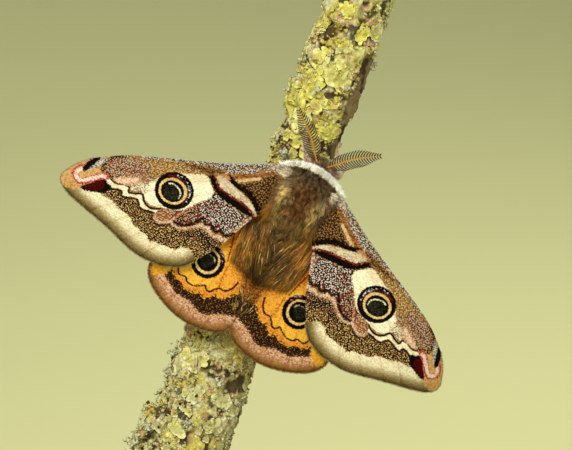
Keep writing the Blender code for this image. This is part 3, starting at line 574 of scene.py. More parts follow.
@dataclass(frozen=True)
class Mark:
    """One marking of a wing, laid over those before it. Sizes are in millimetres."""

    name: str
    scales: Scales
    points: Points
    width: float = 0.0
    soft: float = 0.12
    rag: float = 0.12
    strength: float = 1.0

    @property
    def form(self) -> Form:
        """A line has a width, a disc only its middle and its two radii."""
        return Form.LINE if self.width else Form.DISC if len(self.points) == 2 else Form.PATCH

    def depth(self, spots: Array) -> Array:
        """How deep inside the marking each spot lies, below 0 outside.

        Args:
            spots: Places on the wing, one a row.

        Returns:
            The depths.
        """
        if self.form is Form.DISC:
            centre, radii = np.array(self.points)
            return (1.0 - np.linalg.norm((spots - centre) / radii, axis=1)) * radii.mean()
        if self.form is Form.LINE:
            return self.width / 2 - distance_to_line(spots, Spline(self.points).dense[::4])
        ring = Spline(self.points, closed=True).dense[:-1:4]
        away = distance_to_line(spots, np.vstack((ring, ring[:1])))
        return np.where(inside(spots, ring), away, -away)


CREAM = Scales(tone(255, 249, 222), tone(240, 226, 188), 0.65)
BAND_CREAM = Scales(tone(224, 210, 180), tone(188, 158, 122), 0.7)
FROST = Scales(tone(206, 198, 188), tone(62, 44, 34), 0.42, tone(156, 116, 80), 0.16, speckled=True)
WHITE_HAIR = Scales(tone(212, 202, 180), tone(140, 124, 100), 0.5)
OCHRE = Scales(tone(178, 112, 58), tone(112, 66, 32), 0.55)
STRIPE = Scales(tone(228, 196, 150), tone(190, 142, 94), 0.65)
BASAL = Scales(tone(166, 124, 72), tone(50, 30, 16), 0.24, speckled=True)
BLACKISH = Scales(tone(54, 33, 18), tone(14, 7, 4), 0.08)
BLACK = Scales(tone(22, 14, 10), tone(10, 7, 6), 0.4)
MAROON = Scales(tone(128, 30, 26), tone(74, 16, 16), 0.6)
PEACH = Scales(tone(226, 160, 112), tone(180, 110, 72), 0.6)
DARK_BROWN = Scales(tone(146, 104, 60), tone(66, 42, 24), 0.3, speckled=True)
BROWN = Scales(tone(204, 168, 112), tone(110, 80, 42), 0.5, tone(162, 120, 62), 0.3, speckled=True)
PEPPER = Scales(tone(226, 212, 200), tone(30, 16, 13), 0.31, tone(124, 42, 38), 0.15, speckled=True)
PINK_PEPPER = Scales(tone(204, 164, 134), tone(50, 26, 20), 0.32, tone(136, 58, 46), 0.2, speckled=True)
PINK_LINE = Scales(tone(240, 212, 186), tone(188, 128, 104), 0.62)
DARK_LINE = Scales(tone(60, 28, 22), tone(28, 12, 10), 0.35)
SUBMARGIN = Scales(tone(216, 178, 118), tone(38, 25, 14), 0.25, tone(120, 84, 42), 0.14, speckled=True)
SUBMARGIN_TOP = Scales(tone(206, 168, 124), tone(28, 16, 11), 0.13, tone(140, 80, 60), 0.08, speckled=True)
GOLD_VEIN = Scales(tone(222, 170, 96), tone(186, 128, 62), 0.6)
LOBE = Scales(tone(208, 158, 116), tone(100, 66, 44), 0.5, tone(156, 88, 66), 0.2, speckled=True)
MARGIN_CREAM = Scales(tone(250, 240, 206), tone(228, 208, 166), 0.65)
DOUBLE = Scales(tone(255, 244, 212), tone(236, 208, 164), 0.75)
GREY_PINK = Scales(tone(200, 168, 142), tone(88, 60, 42), 0.42, tone(164, 84, 70), 0.12, speckled=True)
PINK_WHITE = Scales(tone(246, 214, 188), tone(222, 160, 130), 0.62)
TAN = Scales(tone(218, 172, 112), tone(186, 136, 80), 0.6)
HOOK_RED = Scales(tone(206, 96, 78), tone(150, 48, 42), 0.6)
HOOK_WHITE = Scales(tone(248, 222, 210), tone(226, 176, 160), 0.7)
CRIMSON = Scales(tone(88, 8, 8), tone(50, 4, 5), 0.5)
BLUE_WHITE = Scales(tone(200, 202, 204), tone(112, 112, 116), 0.6)
RING_TAN = Scales(tone(240, 212, 146), tone(218, 178, 108), 0.65)
DOTS = Scales(tone(214, 216, 222), tone(20, 12, 12), 0.34)
PALE_ARC = Scales(tone(236, 232, 200), tone(150, 140, 100), 0.75)
PUPIL = Scales(tone(52, 50, 34), tone(20, 19, 13), 0.4)

FORE_MARKS: tuple[Mark, ...] = (
    Mark("costa", FROST, (
        (4, 3.6), (6, 3), (10, 0.9), (15, -1.6), (20, -3.8), (25, -6.2), (27.2, -7.7), (25, -7), (23, -6.45),
        (20.5, -5.2), (16, -3.35), (14, -2.7), (12, -2.5), (10.3, -1.8), (7, -0.05), (5.6, 0.95), (4.2, 2)),
        soft=0.3, rag=0.25),
    Mark("costa_root", WHITE_HAIR, (
        (2.2, 3.4), (4.2, 3.8), (6.4, 3), (7, 1.8), (5.6, 1.5), (3.6, 2)), soft=0.9, rag=0.3, strength=0.75),
    Mark("subcosta", OCHRE, ((5.2, 1.2), (6.6, 0.1), (8, -0.85), (9.4, -1.7), (10.6, -2.4)), 0.42, 0.2),
    Mark("basal", BASAL, (
        (4.2, 1.4), (5.6, 0.6), (6.6, -0.6), (7.6, -1.6), (8.8, -2.5), (9.7, -2.5), (10.8, -2.55), (10.2, -3.1),
        (8.8, -3.3), (7, -3.8), (5.6, -4.7), (4.4, -5.2), (3.6, -3.5), (3.6, -1)), soft=0.2, rag=0.2),
    Mark("stripe", STRIPE, ((6.7, -0.55), (7.6, -1.2), (8.6, -1.9), (9.5, -2.45)), 0.42, 0.12, 0.08),
    Mark("basal_edge", BLACKISH, (
        (4.4, -4.6), (5.4, -4.1), (6.2, -3.6), (7.2, -3.25), (9.6, -2.95), (10.5, -2.6)), 0.95, 0.15, 0.22),
    Mark("band", BAND_CREAM, (
        (4.6, -5.4), (5.6, -4.5), (6.5, -4), (7.5, -3.7), (10, -3.2), (10.7, -2.8), (11.5, -2.75),
        (12.2, -3.05), (12.3, -3.4), (11.9, -3.8), (11.2, -4.4), (10.2, -4.6), (9, -4.65), (6.5, -4.9),
        (5.6, -5.3), (4.6, -5.9)), soft=0.1),
    Mark("band_peach", PEACH, ((10.5, -2.75), (11.4, -2.6), (12.1, -3)), 0.42, 0.3, 0.1, 0.8),
    Mark("black_band", BLACK, (
        (4.4, -6), (5.6, -5.3), (6.5, -4.95), (9, -4.7), (11.2, -4.45), (12.4, -3.35), (13.1, -3.3),
        (13.3, -3.8), (13, -4.05), (11.5, -5.25), (10.8, -5.65), (9.5, -5.9), (6.5, -6.15), (5.2, -6.5),
        (4.4, -7)), soft=0.1, rag=0.16),
    Mark("maroon_edge", MAROON, (
        (4.6, -5.8), (6.5, -4.98), (10.2, -4.68), (11.1, -4.5), (12.3, -3.45)), 0.3, 0.12, 0.14),
    Mark("shoulder", DARK_BROWN, (
        (11.4, -2.45), (12.5, -2.3), (15.5, -3.3), (17, -3.9), (15.8, -4.1), (14.2, -3.7), (13.2, -3.7),
        (12.1, -2.8)), soft=0.25, rag=0.25),
    Mark("median", PEPPER, (
        (4.6, -6.6), (6.5, -6.12), (9.5, -5.88), (10.8, -5.62), (11.5, -5.3), (11.6, -6.2), (12, -6.9),
        (13, -8.1), (13.6, -9), (14.3, -9.8), (15.2, -10.5), (15.1, -11.5), (14.4, -11.9), (13.3, -11.6),
        (12.5, -11.1), (11.7, -10.4), (10.3, -9.8), (8.5, -10), (7.2, -9.9), (6.2, -9.3), (5.4, -8)),
        soft=0.1, rag=0.2),
    Mark("median_outer", PINK_PEPPER, (
        (12.2, -7.8), (13, -8.2), (14.3, -9.8), (15.3, -10.6), (16.5, -11), (15.6, -11.6), (14.4, -11.9),
        (13.3, -11.6), (12.5, -10.9), (11.9, -9.6)), soft=0.5, rag=0.3),
    Mark("median_fringe", PINK_LINE, ((5.2, -6.6), (5.5, -7.6), (6, -8.8), (6.5, -9.7)), 0.9, 0.5, 0.3, 0.5),
    Mark("discal", CREAM, (
        (13.2, -4.1), (12.4, -4.7), (11.6, -5.5), (11.5, -6.2), (11.9, -6.9), (12.9, -8.1), (13.4, -8.9),
        (14.1, -9.7), (15, -10.3), (17.5, -11.25), (18.5, -11.45), (19.5, -11.15), (20.1, -10.7), (20.8, -10.3),
        (20.7, -9.2), (20, -8.3), (17.8, -6), (16.9, -5.4), (15.8, -4.9), (14, -4)), soft=0.14),
    Mark("discal_fade", Scales(tone(236, 222, 190), tone(130, 100, 70), 0.55), (
        (20.3, -8.4), (21.4, -9.2), (22.3, -10.4), (21.6, -11.1), (20.9, -10.8), (20.2, -10.3)),
        soft=0.5, rag=0.3),
    Mark("median_light", PINK_LINE, (
        (6.2, -10.4), (6.9, -10.75), (8, -10.85), (8.8, -10.95), (9.6, -10.4), (10.6, -10.5), (11.3, -10.9),
        (12, -11.6), (12.9, -12.2), (14, -12.35), (14.7, -12.2)), 0.62, 0.2, 0.3),
    Mark("median_line", DARK_LINE, (
        (6.2, -9.2), (6.6, -9.8), (7.3, -10.1), (7.9, -9.8), (8.5, -10.25), (9.1, -10.15), (9.5, -9.7),
        (10.3, -9.95), (11, -9.6), (11.6, -10.4), (12.2, -11.1), (13.1, -11.7), (14.2, -11.95), (14.9, -11.8)),
        0.5, 0.12, 0.16),
    Mark("submargin", SUBMARGIN, (
        (6.4, -11.4), (7.6, -11.3), (9, -11.2), (10.4, -10.95), (11.2, -11.3), (12, -12), (13, -12.55),
        (14.2, -12.6), (15, -12.3), (15.6, -12.8), (16.6, -13.1), (17.3, -12.3), (18.3, -12.5), (19.8, -12.4),
        (21.2, -11.85), (23, -12), (25.4, -12.5), (26.6, -13.8), (26, -15.5), (18, -17.5), (10, -17.5),
        (8, -15.6), (6, -12.5)), rag=0.2),
    Mark("submargin_top", SUBMARGIN_TOP, (
        (6.4, -11.3), (8, -11.15), (9, -11.2), (10.4, -10.95), (11.2, -11.3), (12, -12), (13, -12.6),
        (14, -12.9), (12.6, -13.4), (10.6, -12.5), (8.6, -12.9), (7, -12.8)), soft=0.5, rag=0.3),
    Mark("gold_vein", GOLD_VEIN, (
        (13.5, -8.9), (13.9, -9.9), (14.4, -11), (14.9, -12.4)), 0.14, 0.1, 0.04, 0.8),
    Mark("lobe", LOBE, (
        (15, -11), (16.2, -10.9), (17.1, -11.3), (17.3, -12), (16.7, -12.6), (15.8, -12.5), (15.2, -11.9)),
        soft=0.25, rag=0.2),
    Mark("lobe_line", PINK_LINE, (
        (14.6, -11.6), (15, -12.2), (15.7, -12.85), (16.5, -13.05), (17.1, -12.85), (17.5, -11.8)), 0.34, 0.14),
    Mark("lobe_shade", DARK_LINE, (
        (14.7, -12.6), (15.4, -13.1), (16.4, -13.4), (17.3, -13.2), (17.7, -12.5)), 0.28, 0.15, 0.2, 0.85),
    Mark("double", DOUBLE, (
        (17.3, -11.4), (18, -11.75), (18.7, -11.8), (19.4, -11.5), (20, -11), (20.2, -10.7), (20.6, -10.85),
        (21.6, -11.35), (22.1, -11.4), (22.4, -10.7), (23.2, -10.8), (23.8, -11.1), (24.5, -11.2),
        (25.2, -11.1), (25.8, -11.6), (25.6, -12.5), (24.6, -12.2), (23.8, -11.85), (23, -11.7), (22.8, -12.3),
        (21.8, -12.1), (21.2, -11.8), (20.6, -11.7), (20.1, -12), (19.8, -12.4), (19, -12.5), (17.5, -12.2)),
        rag=0.1),
    Mark("double_upper", DARK_LINE, (
        (17, -11.2), (17.6, -11.6), (18.3, -11.85), (19, -11.75), (19.6, -11.4), (20.1, -10.8), (20.5, -10.75),
        (21.6, -11.3), (22.1, -11.35), (22.4, -10.75), (23.2, -10.8), (23.8, -11.05), (24.5, -11.15), (25, -11)),
        0.3, 0.1, 0.05),
    Mark("double_lower", DARK_LINE, (
        (17.5, -12.2), (19, -12.55), (19.8, -12.45), (20.2, -12), (20.6, -11.75), (21.2, -11.85),
        (21.8, -12.15), (22.7, -12.35), (23, -11.8), (23.8, -11.95), (25.4, -12.7)), 0.34, 0.12, 0.08),
    Mark("grey_pink", GREY_PINK, (
        (20.8, -6.6), (22.5, -6.8), (24, -7.1), (25.5, -7.8), (26.4, -9), (26.5, -10), (25.8, -10.6),
        (24.6, -10.2), (23.2, -9.2), (21.6, -8.3)), soft=0.6, rag=0.3),
    Mark("pink_haze", GREY_PINK, (
        (19.6, -8), (20.6, -7.9), (22, -8.6), (23.4, -9.6), (22.4, -10), (21, -9)),
        soft=0.7, rag=0.3, strength=0.7),
    Mark("grey_edge", SUBMARGIN_TOP, (
        (25.1, -7.3), (25.9, -7.9), (26.5, -8.9), (26.7, -9.9), (26.2, -10.6), (25.2, -10.7), (24.4, -10.4)),
        0.62, 0.3, 0.2),
    Mark("pink_patch", PINK_WHITE, (
        (21.6, -8.9), (22.6, -9.4), (23.8, -10), (24.7, -10.85), (23.8, -10.95), (22.8, -10.6), (21.9, -9.9)),
        soft=0.3, rag=0.15),
    Mark("margin", MARGIN_CREAM, (
        (8.6, -15.4), (9.4, -14.9), (10.3, -14.3), (11.2, -14.4), (11.8, -14.6), (12.2, -15.3), (13, -15.45),
        (15.2, -15.7), (16.1, -16), (17, -15.5), (19, -15.2), (19.6, -14.9), (20.1, -14.5), (21, -14.2),
        (22.4, -14.1), (22.8, -13.8), (24, -13.6), (24.7, -13.7), (25.2, -13.5), (25.8, -13.6), (26.6, -13.9),
        (28.8, -14.4), (33, -15), (33, -21), (8, -21), (7.4, -17)), soft=0.1),
    Mark("apex", TAN, (
        (26.3, -7.3), (27.5, -8), (29.4, -9.3), (31.6, -11.3), (33, -13), (33, -15), (30.5, -15.3),
        (28.6, -14.9), (27.6, -14.1), (26.9, -12.8), (26, -11.2), (26.8, -10.6), (27, -9.6), (26.7, -8.6)),
        soft=0.35, rag=0.15),
    Mark("crimson_edge", BLACK, (
        (24.4, -12), (25.2, -11.7), (25.8, -11.3), (26.2, -11.4), (27, -12.8), (27.9, -14.15), (26.8, -14.1),
        (24.9, -13.1)), soft=0.1),
    Mark("crimson", CRIMSON, (
        (25.3, -12.3), (25.9, -11.6), (26.4, -12.2), (27.2, -13.4), (27.5, -14), (26.4, -13.7), (25.5, -13.1)),
        rag=0.1),
    Mark("hook_red", HOOK_RED, (
        (25.6, -11), (26.2, -11.3), (27.7, -12.95), (28.3, -13.4), (29, -13.2), (29.3, -12.6), (29.1, -11.9),
        (28.8, -11.4)), 0.86, 0.16, 0.1),
    Mark("hook_white", HOOK_WHITE, (
        (25.9, -11.1), (26.4, -11.45), (27.8, -12.95), (28.35, -13.3), (28.9, -13.1), (29.15, -12.6),
        (28.95, -11.9), (28.7, -11.5)), 0.48, 0.14, 0.1),
    Mark("apex_pale", BLUE_WHITE, ((26.9, -8.9), (27.3, -9.6), (27.6, -10.5), (28, -11.2)), 0.5, 0.2, 0.15),
    Mark("apex_spot", BLACK, (
        (27.5, -9), (28, -9.2), (28.5, -10.1), (28.8, -11.1), (28.6, -11.9), (28.2, -11.7), (27.6, -10))),
    Mark("eye_black", BLACK, ((16.52, -8.05), (2.84, 2.64)), soft=0.08, rag=0.06),
    Mark("eye_maroon", MAROON, (
        (14.5, -9.2), (14.45, -8.2), (14.75, -7.2), (15.4, -6.5), (16.3, -6.12), (17.3, -6.1), (18.2, -6.5)),
        0.26, 0.16, 0.1, 0.8),
    Mark("eye_dots", DOTS, (
        (14.2, -8.6), (14.3, -7.6), (14.8, -6.7), (15.5, -6.1), (16.3, -5.85), (17.1, -5.85)), 0.26, 0.1, 0.1),
    Mark("eye_ring", RING_TAN, ((16.68, -8.18), (2.1, 1.84)), soft=0.08, rag=0.06),
    Mark("eye_inner", BLACK, ((16.7, -8.22), (1.72, 1.5)), soft=0.08, rag=0.06),
    Mark("eye_pupil", PUPIL, ((16.72, -8.42), (1.26, 1.1)), soft=0.2, rag=0.1),
    Mark("eye_arc", PALE_ARC, (
        (15.4, -8.7), (15.55, -8), (16.05, -7.5), (16.9, -7.28), (17.65, -7.45)), 0.19, 0.08, 0.06),
)

ORANGE = Scales(tone(255, 198, 74), tone(244, 166, 50), 0.62)
DEEP_ORANGE = Scales(tone(226, 138, 40), tone(176, 98, 26), 0.6)
BAND_ORANGE = Scales(tone(240, 158, 60), tone(206, 116, 40), 0.6)
TAWNY = Scales(tone(164, 100, 38), tone(88, 50, 20), 0.45)
# Painted shade: the dark valley where the two hindwings meet under the hair.
VALLEY_SHADE = Scales(tone(78, 48, 22), tone(36, 22, 12), 0.4)
HIND_BLACK = Scales(tone(176, 120, 66), tone(28, 18, 12), 0.09, tone(58, 36, 22), 0.2, speckled=True)
HIND_MARGIN = Scales(tone(226, 182, 140), tone(196, 136, 98), 0.6)
HIND_PINK = Scales(tone(242, 206, 184), tone(194, 124, 98), 0.5, tone(156, 72, 60), 0.18, speckled=True)

WAVE = ((2.2, -15.0), (2.5, -16.1), (3.2, -16.95), (4.1, -17.05), (4.7, -17.6), (5.1, -18.15), (5.7, -18.15),
        (6.1, -17.7), (6.8, -18.1), (7.6, -18.55), (8.6, -18.5), (9.1, -18.0), (10.2, -18.1), (10.7, -17.4))
HIND_EDGE = ((-0.4, -19.4), (1, -19.9), (2.2, -20.35), (3.3, -21.1), (4.5, -21.5), (5.5, -21.5), (6.5, -21.1),
             (7.5, -20.8), (9.5, -20.8), (10.4, -20.25), (11.5, -19.7), (12.2, -19.3), (12.6, -18))

HIND_MARKS: tuple[Mark, ...] = (
    Mark("base_tint", DEEP_ORANGE, (
        (3, -2), (8, -5), (7, -9), (6, -11.4), (4.9, -12.2), (3.4, -13.2), (-1, -14), (-1, -2)),
        soft=1.2, rag=0.3),
    Mark("hair_ground", TAWNY, (
        (-1, -3), (5.2, -6), (5, -10), (3.6, -12.8), (2.2, -14.8), (1.4, -16.6), (-1, -17)), soft=0.9, rag=0.4),
    # Painted shade along the inner margin, where the two hindwings meet under the hair.
    Mark("valley", VALLEY_SHADE, ((0, -5), (0, -13.6)), 1.9, 1.4, 0.3, 0.9),
    Mark("orange_band", BAND_ORANGE, tuple(((x, y - 0.72) for x, y in WAVE)), 1, 0.3, 0.2, 0.85),
    Mark("inner_orange", BAND_ORANGE, (
        (1.8, -14), (3, -12.6), (4.6, -13), (5, -15), (4.8, -17.2), (3, -17.4), (2, -16)),
        soft=1.5, strength=0.6),
    Mark("upper_line", DARK_LINE, ((6.3, -8.6), (5.8, -10), (5.4, -11.4), (5, -13)), 0.24, 0.15, 0.06, 0.85),
    Mark("dots_line", TAWNY, ((4.7, -13.8), (4.5, -15.2), (4.3, -16.9)), 0.14, 0.12, 0.16, 0.7),
    Mark("black", HIND_BLACK, (
        (-1, -16.4), (0.4, -16.5), (1.4, -16.6), (2.2, -17.2), (2.9, -18.1), (3.7, -18.4), (4.2, -18.2),
        (4.8, -19), (5.6, -19.3), (6.2, -18.9), (7, -19.35), (8, -19.6), (8.8, -19.4), (9.4, -18.95),
        (10.4, -18.85), (11.1, -18.2), (11.5, -17.8), (11.9, -18.6), (12.3, -19.5), (11.5, -19.9),
        (10.4, -20.4), (9.5, -21), (8.5, -21.05), (7.5, -21), (5.5, -21.7), (4.5, -21.7), (3.3, -21.3),
        (2.2, -20.5), (1, -20.1), (-1, -19.9)), rag=0.24),
    Mark("wave", DARK_LINE, WAVE, 0.28, 0.1, 0.04),
    Mark("margin", HIND_MARGIN, (
        (-2, -19.8), *HIND_EDGE, (16, -16), (17, -24), (0, -26), (-3, -23)), soft=0.16, rag=0.22),
    Mark("margin_pink", HIND_PINK, tuple(((x, y - 0.55) for x, y in HIND_EDGE)), 1, 0.6, 0.3, 0.65),
    Mark("corner", ORANGE, (
        (11.6, -17.4), (13.2, -17.4), (14.2, -18.2), (14, -19.4), (13.2, -20), (12.4, -19.6), (12, -18.8)),
        soft=0.6, rag=0.2),
    Mark("eye_black", BLACK, ((7.45, -14.45), (2.45, 2.5)), soft=0.08, rag=0.06),
    Mark("eye_maroon", MAROON, ((5.7, -14.6), (5.75, -13.6), (6.2, -12.8), (6.9, -12.4)), 0.24, 0.16, 0.1, 0.7),
    Mark("eye_dots", DOTS, ((5.5, -13.6), (5.9, -12.8), (6.5, -12.3)), 0.22, 0.1, 0.1, 0.6),
    Mark("eye_ring", RING_TAN, ((7.5, -14.5), (1.82, 1.85)), soft=0.08, rag=0.06),
    Mark("eye_inner", BLACK, ((7.55, -14.42), (1.55, 1.52)), soft=0.08, rag=0.06),
    Mark("eye_pupil", PUPIL, ((7.6, -14.5), (0.9, 0.95)), soft=0.2, rag=0.1),
    Mark("eye_arc", PALE_ARC, ((6.5, -14.2), (6.8, -13.7), (7.4, -13.5), (8, -13.6)), 0.14, 0.1, 0.08, 0.5),
)


@dataclass(frozen=True)
class WingFinish:
    """The finish of a wing: fields of scales, laid marking over marking."""

    name: str
    ground: Scales
    marks: tuple[Mark, ...]
    scale_turn: float
    # Painted shade at the curled edge and in the margin's middle, then the underside's colour.
    margin_tones: tuple[Colour, Colour, Colour]
    margin_reach: tuple[float, float]

    SCALES_A_MM = 6.6
    FINE_SCALES_A_MM = 13.0
    SPECKLES_A_MM = 3.7

    def make(self) -> Look:
        """Makes the material, which reads the markings' depths from the mesh.

        Returns:
            The material.
        """
        kit = NodeKit(self.name)
        place = kit.attribute("wing_place", "Vector")
        laid = kit.mapped(place, (0.72, 1.15, 1.0), self.scale_turn)
        pick, third, jitter = kit.parts(kit.cells(laid, self.SCALES_A_MM)[1])
        wider = kit.mapped(place, (0.85, 1.1, 1.0), self.scale_turn)
        near, speckle = kit.cells(wider, self.SPECKLES_A_MM, 0.85, "2D")
        near = kit.math("MULTIPLY_ADD", kit.math("SUBTRACT", pick, 0.5), 0.3, near)
        chance = (pick, third, near, kit.parts(speckle)[0])
        ragged = kit.math("SUBTRACT", jitter, 0.5)
        colour = self.field(kit, self.ground, chance)
        for mark in self.marks:
            edge = kit.math("MULTIPLY_ADD", ragged, 2 * mark.rag, kit.attribute("mark_" + mark.name))
            share = kit.span(edge, -mark.soft / 2, mark.soft / 2, (0.0, mark.strength))
            own = self.field(kit, mark.scales, chance)
            colour = kit.mix(share, colour, self.margin(kit, own, ragged) if mark.name == "margin" else own)
        return self.surface(kit, colour, laid)

    @staticmethod
    def field(kit: NodeKit, scales: Scales, chance: tuple[Socket, ...]) -> Socket:
        """Colours one field of scales.

        Args:
            kit: The material's nodes.
            scales: The field.
            chance: The chances of each scale, and the distance to a speckle and its chance.

        Returns:
            The colour.
        """
        pick, third, near, speckle = chance
        share = kit.span(pick, scales.light_share + 0.04, scales.light_share - 0.04)
        if scales.speckled:
            share, third = kit.span(near, scales.reach + 0.06, scales.reach - 0.06), speckle
        colour = kit.mix(share, scales.dark, scales.light)
        if scales.third_share:
            colour = kit.mix(kit.math("LESS_THAN", third, scales.third_share), colour, scales.third)
        return colour

    def margin(self, kit: NodeKit, inner: Socket, ragged: Socket) -> Socket:
        """Colours the rolled margin, with painted shade that darkens it towards the curled edge.

        Args:
            kit: The material's nodes.
            inner: The colour away from the edge.
            ragged: A chance about 0 for each scale.

        Returns:
            The colour.
        """
        # Painted shade: from the inner colour through the middle tone to the edge tone, towards the curled edge.
        edge, middle, _ = self.margin_tones
        first, last = self.margin_reach
        away = kit.math("MULTIPLY_ADD", ragged, 0.35, kit.attribute("from_edge"))
        outer = kit.mix(kit.span(away, 0.0, first, smooth=True), edge, middle)
        return kit.mix(kit.span(away, first * 0.7, last, smooth=True), outer, inner)

    def surface(self, kit: NodeKit, colour: Socket, laid: Socket) -> Look:
        """Adds the veins, the paler underside, and the scales' own relief and sheen.

        Args:
            kit: The material's nodes.
            colour: The markings' colour.
            laid: The place along and across the scales.

        Returns:
            The material.
        """
        near, fine = kit.cells(laid, self.FINE_SCALES_A_MM)
        grain, white = kit.parts(fine)[0], tone(255, 255, 255)
        colour = kit.mix(kit.math("MULTIPLY", kit.attribute("vein"), 0.4), colour, tone(214, 176, 128), "MULTIPLY")
        colour = kit.mix(0.22, colour, kit.mix(grain, tone(90, 90, 90), white), "MULTIPLY")
        colour = kit.mix(0.20, colour, kit.mix(kit.noise(laid, 0.45, 4.0), tone(120, 116, 110), white), "MULTIPLY")
        colour = kit.mix(kit.attribute("under"), colour, kit.mix(0.55, colour, self.margin_tones[2]))
        relief = kit.bump(kit.span(near, 0.0, 0.9, (1.0, 0.0)), 0.000035, 0.7)
        return kit.finish(colour, kit.span(grain, 0.0, 1.0, (0.5, 0.72)), relief, Specular_IOR_Level=0.02)


@dataclass
class Wing:
    """A wing as a patch between its leading edge, outer margin and inner margin. Sizes are in millimetres."""

    side: Side
    kind: str = ""
    lead: Points = ()
    outer: Points = ()
    trail: Points = ()
    veins: Points = ()
    cell_end: float = 0.5
    marks: tuple[Mark, ...] = ()
    grid: tuple[int, int] = (110, 120)
    roll: float = 0.26
    roll_reach: float = 1.6
    thickness: float = 0.2
    vein_height: float = 0.09
    vein_reach: float = 0.13
    tip_bend: float = 0.0
    tip_drop: float = 0.0

    VEIN_FORK = 0.35
    BEND_START = 20.0
    MEASURED_BEND = 0.0095

    def __post_init__(self) -> None:
        """Lays the three edges as smooth curves."""
        self.edges = (Spline(self.lead), Spline(self.outer), Spline(self.trail))

    def height(self, spots: Array, across: Array, along: Array) -> Array:
        """The height of the wing's middle plane over the moth's zero depth, which each kind of wing gives."""
        raise NotImplementedError

    def plan(self, across: Array, along: Array) -> Array:
        """Finds places of the patch, seen from above.

        Args:
            across: Shares across the wing, 0 at the leading edge.
            along: Shares along it, 0 at the root.

        Returns:
            The places, one a row.
        """
        lead, outer, trail = self.edges
        s, t = across[:, None], along[:, None]
        sides, root, tip = (lead.at(at) * (1 - s) + trail.at(at) * s for at in (along, 0.0, 1.0))
        return sides + root * (1 - t) + outer.at(across) * t - (root * (1 - t) + tip * t)

    def vein_line(self, vein: Sequence[float], along: Array) -> Array:
        """How far across the wing a vein runs at each station."""
        stem, end, _ = vein
        return stem + (end - stem) * smooth_step((along - self.VEIN_FORK) / (1.0 - self.VEIN_FORK))

    def nearness(self, along: Array, across: Array) -> Array:
        """Tells how near places lie to a vein.

        Args:
            along: Shares along the wing.
            across: Shares across it.

        Returns:
            1 on a vein and 0 beyond its reach.
        """
        near = np.zeros(len(along))
        first, last = (self.plan(np.full_like(along, end), along) for end in (0.0, 1.0))
        chord = np.linalg.norm(first - last, axis=1)
        for vein in self.veins:
            away = np.abs(across - self.vein_line(vein, along)) * chord
            started = smooth_step((along - vein[2]) / 0.05) if vein[2] else 1.0
            near = np.maximum(near, np.exp(-((away / self.vein_reach) ** 2)) * started)
        closing = np.abs(along - self.cell_end) * self.edges[0].lengths[-1]
        low, high = (self.vein_line(self.veins[number], along) for number in (3, -4))
        return np.maximum(near, np.exp(-((closing / self.vein_reach) ** 2)) * ((across > low) & (across < high)))

    def curled(self, spots: Array, bend: float) -> Array:
        """Places drawn in where the tip curls back by this much."""
        x, y = spots.T
        return np.column_stack((x - bend * np.maximum(x - self.BEND_START, 0.0) ** 2, y))

    def build(self) -> Piece:
        """Builds the wing as a closed sheet that carries its markings.

        Returns:
            The piece.
        """
        columns, rows = self.grid
        along, across = (axis.ravel() for axis in np.meshgrid(
            np.linspace(0, 1, rows), np.linspace(0, 1, columns), indexing="ij"))
        spots = self.plan(across, along)
        from_edges = [distance_to_line(spots, edge.dense) for edge in self.edges]
        near = self.nearness(along, across)
        rolled = self.roll * np.clip(1.0 - from_edges[1] / self.roll_reach, 0.0, 1.0) ** 2
        level = self.height(spots, across, along) - rolled
        half = self.thickness / 2 * (0.3 + 0.7 * smooth_step(np.min(from_edges, axis=0) / 0.4))
        flat = self.curled(spots, self.tip_bend) * (self.side.value, 1.0)
        points = np.vstack((np.column_stack((flat, level + half + self.vein_height * near)),
                            np.column_stack((flat, level - half - 0.5 * self.vein_height * near))))
        wing = mesh_object(f"{self.kind}_{self.side.word}_scales", MOTH.out(points), self.faces())
        for mark in self.marks:
            carry(wing, "mark_" + mark.name, np.tile(mark.depth(self.curled(spots, self.MEASURED_BEND)), 2))
        carry(wing, "vein", np.tile(near, 2))
        carry(wing, "from_edge", np.tile(from_edges[1], 2))
        carry(wing, "under", np.repeat((0.0, 1.0), len(spots)))
        carry(wing, "wing_place", np.tile(level_with(spots), (2, 1)))
        upper = np.column_stack((across, along)) * (0.48, 0.98) + 0.01
        carry_map(wing, np.vstack((upper, upper + (0.5, 0.0))))
        return wing

    def faces(self) -> Array:
        """Lays two sheets of alike triangles and the rim between them.

        Returns:
            The triangles.
        """
        columns, rows = self.grid
        number = np.arange(columns * rows).reshape(rows, columns)
        a, b, c, d = (part.ravel() for part in (number[:-1, :-1], number[:-1, 1:], number[1:, 1:], number[1:, :-1]))
        sheet = np.vstack((np.column_stack((a, b, c)), np.column_stack((a, c, d))))
        rim = np.concatenate((number[0], number[1:, -1], number[-1, -2::-1], number[-2:0:-1, 0]))
        after, below = np.roll(rim, -1), columns * rows
        band = np.vstack((np.column_stack((rim, rim + below, after + below)),
                          np.column_stack((rim, after + below, after))))
        made = np.vstack((sheet, sheet[:, ::-1] + below, band))
        return made[:, ::-1] if self.side is Side.RIGHT else made

    def fringe_roots(self, shares: Array) -> Shape:
        """Finds places along the outer margin.

        Args:
            shares: Shares of the margin.

        Returns:
            The places, and the way out of the wing there, on the wing's own side.
        """
        end, mirror = np.ones_like(shares), (self.side.value, 1.0)
        spots = self.plan(shares, end)
        run = self.plan(np.clip(shares + 0.01, 0, 1), end) - self.plan(np.clip(shares - 0.01, 0, 1), end)
        out = unit(run[:, ::-1] * (-1.0, 1.0))
        out *= np.sign(np.sum(out * (spots - self.plan(np.array((0.5,)), np.array((0.5,)))), axis=1))[:, None]
        flat = self.curled(spots, self.tip_bend) * mirror
        return np.column_stack((flat, self.height(spots, shares, end) - self.roll)), level_with(out * mirror, -0.25)


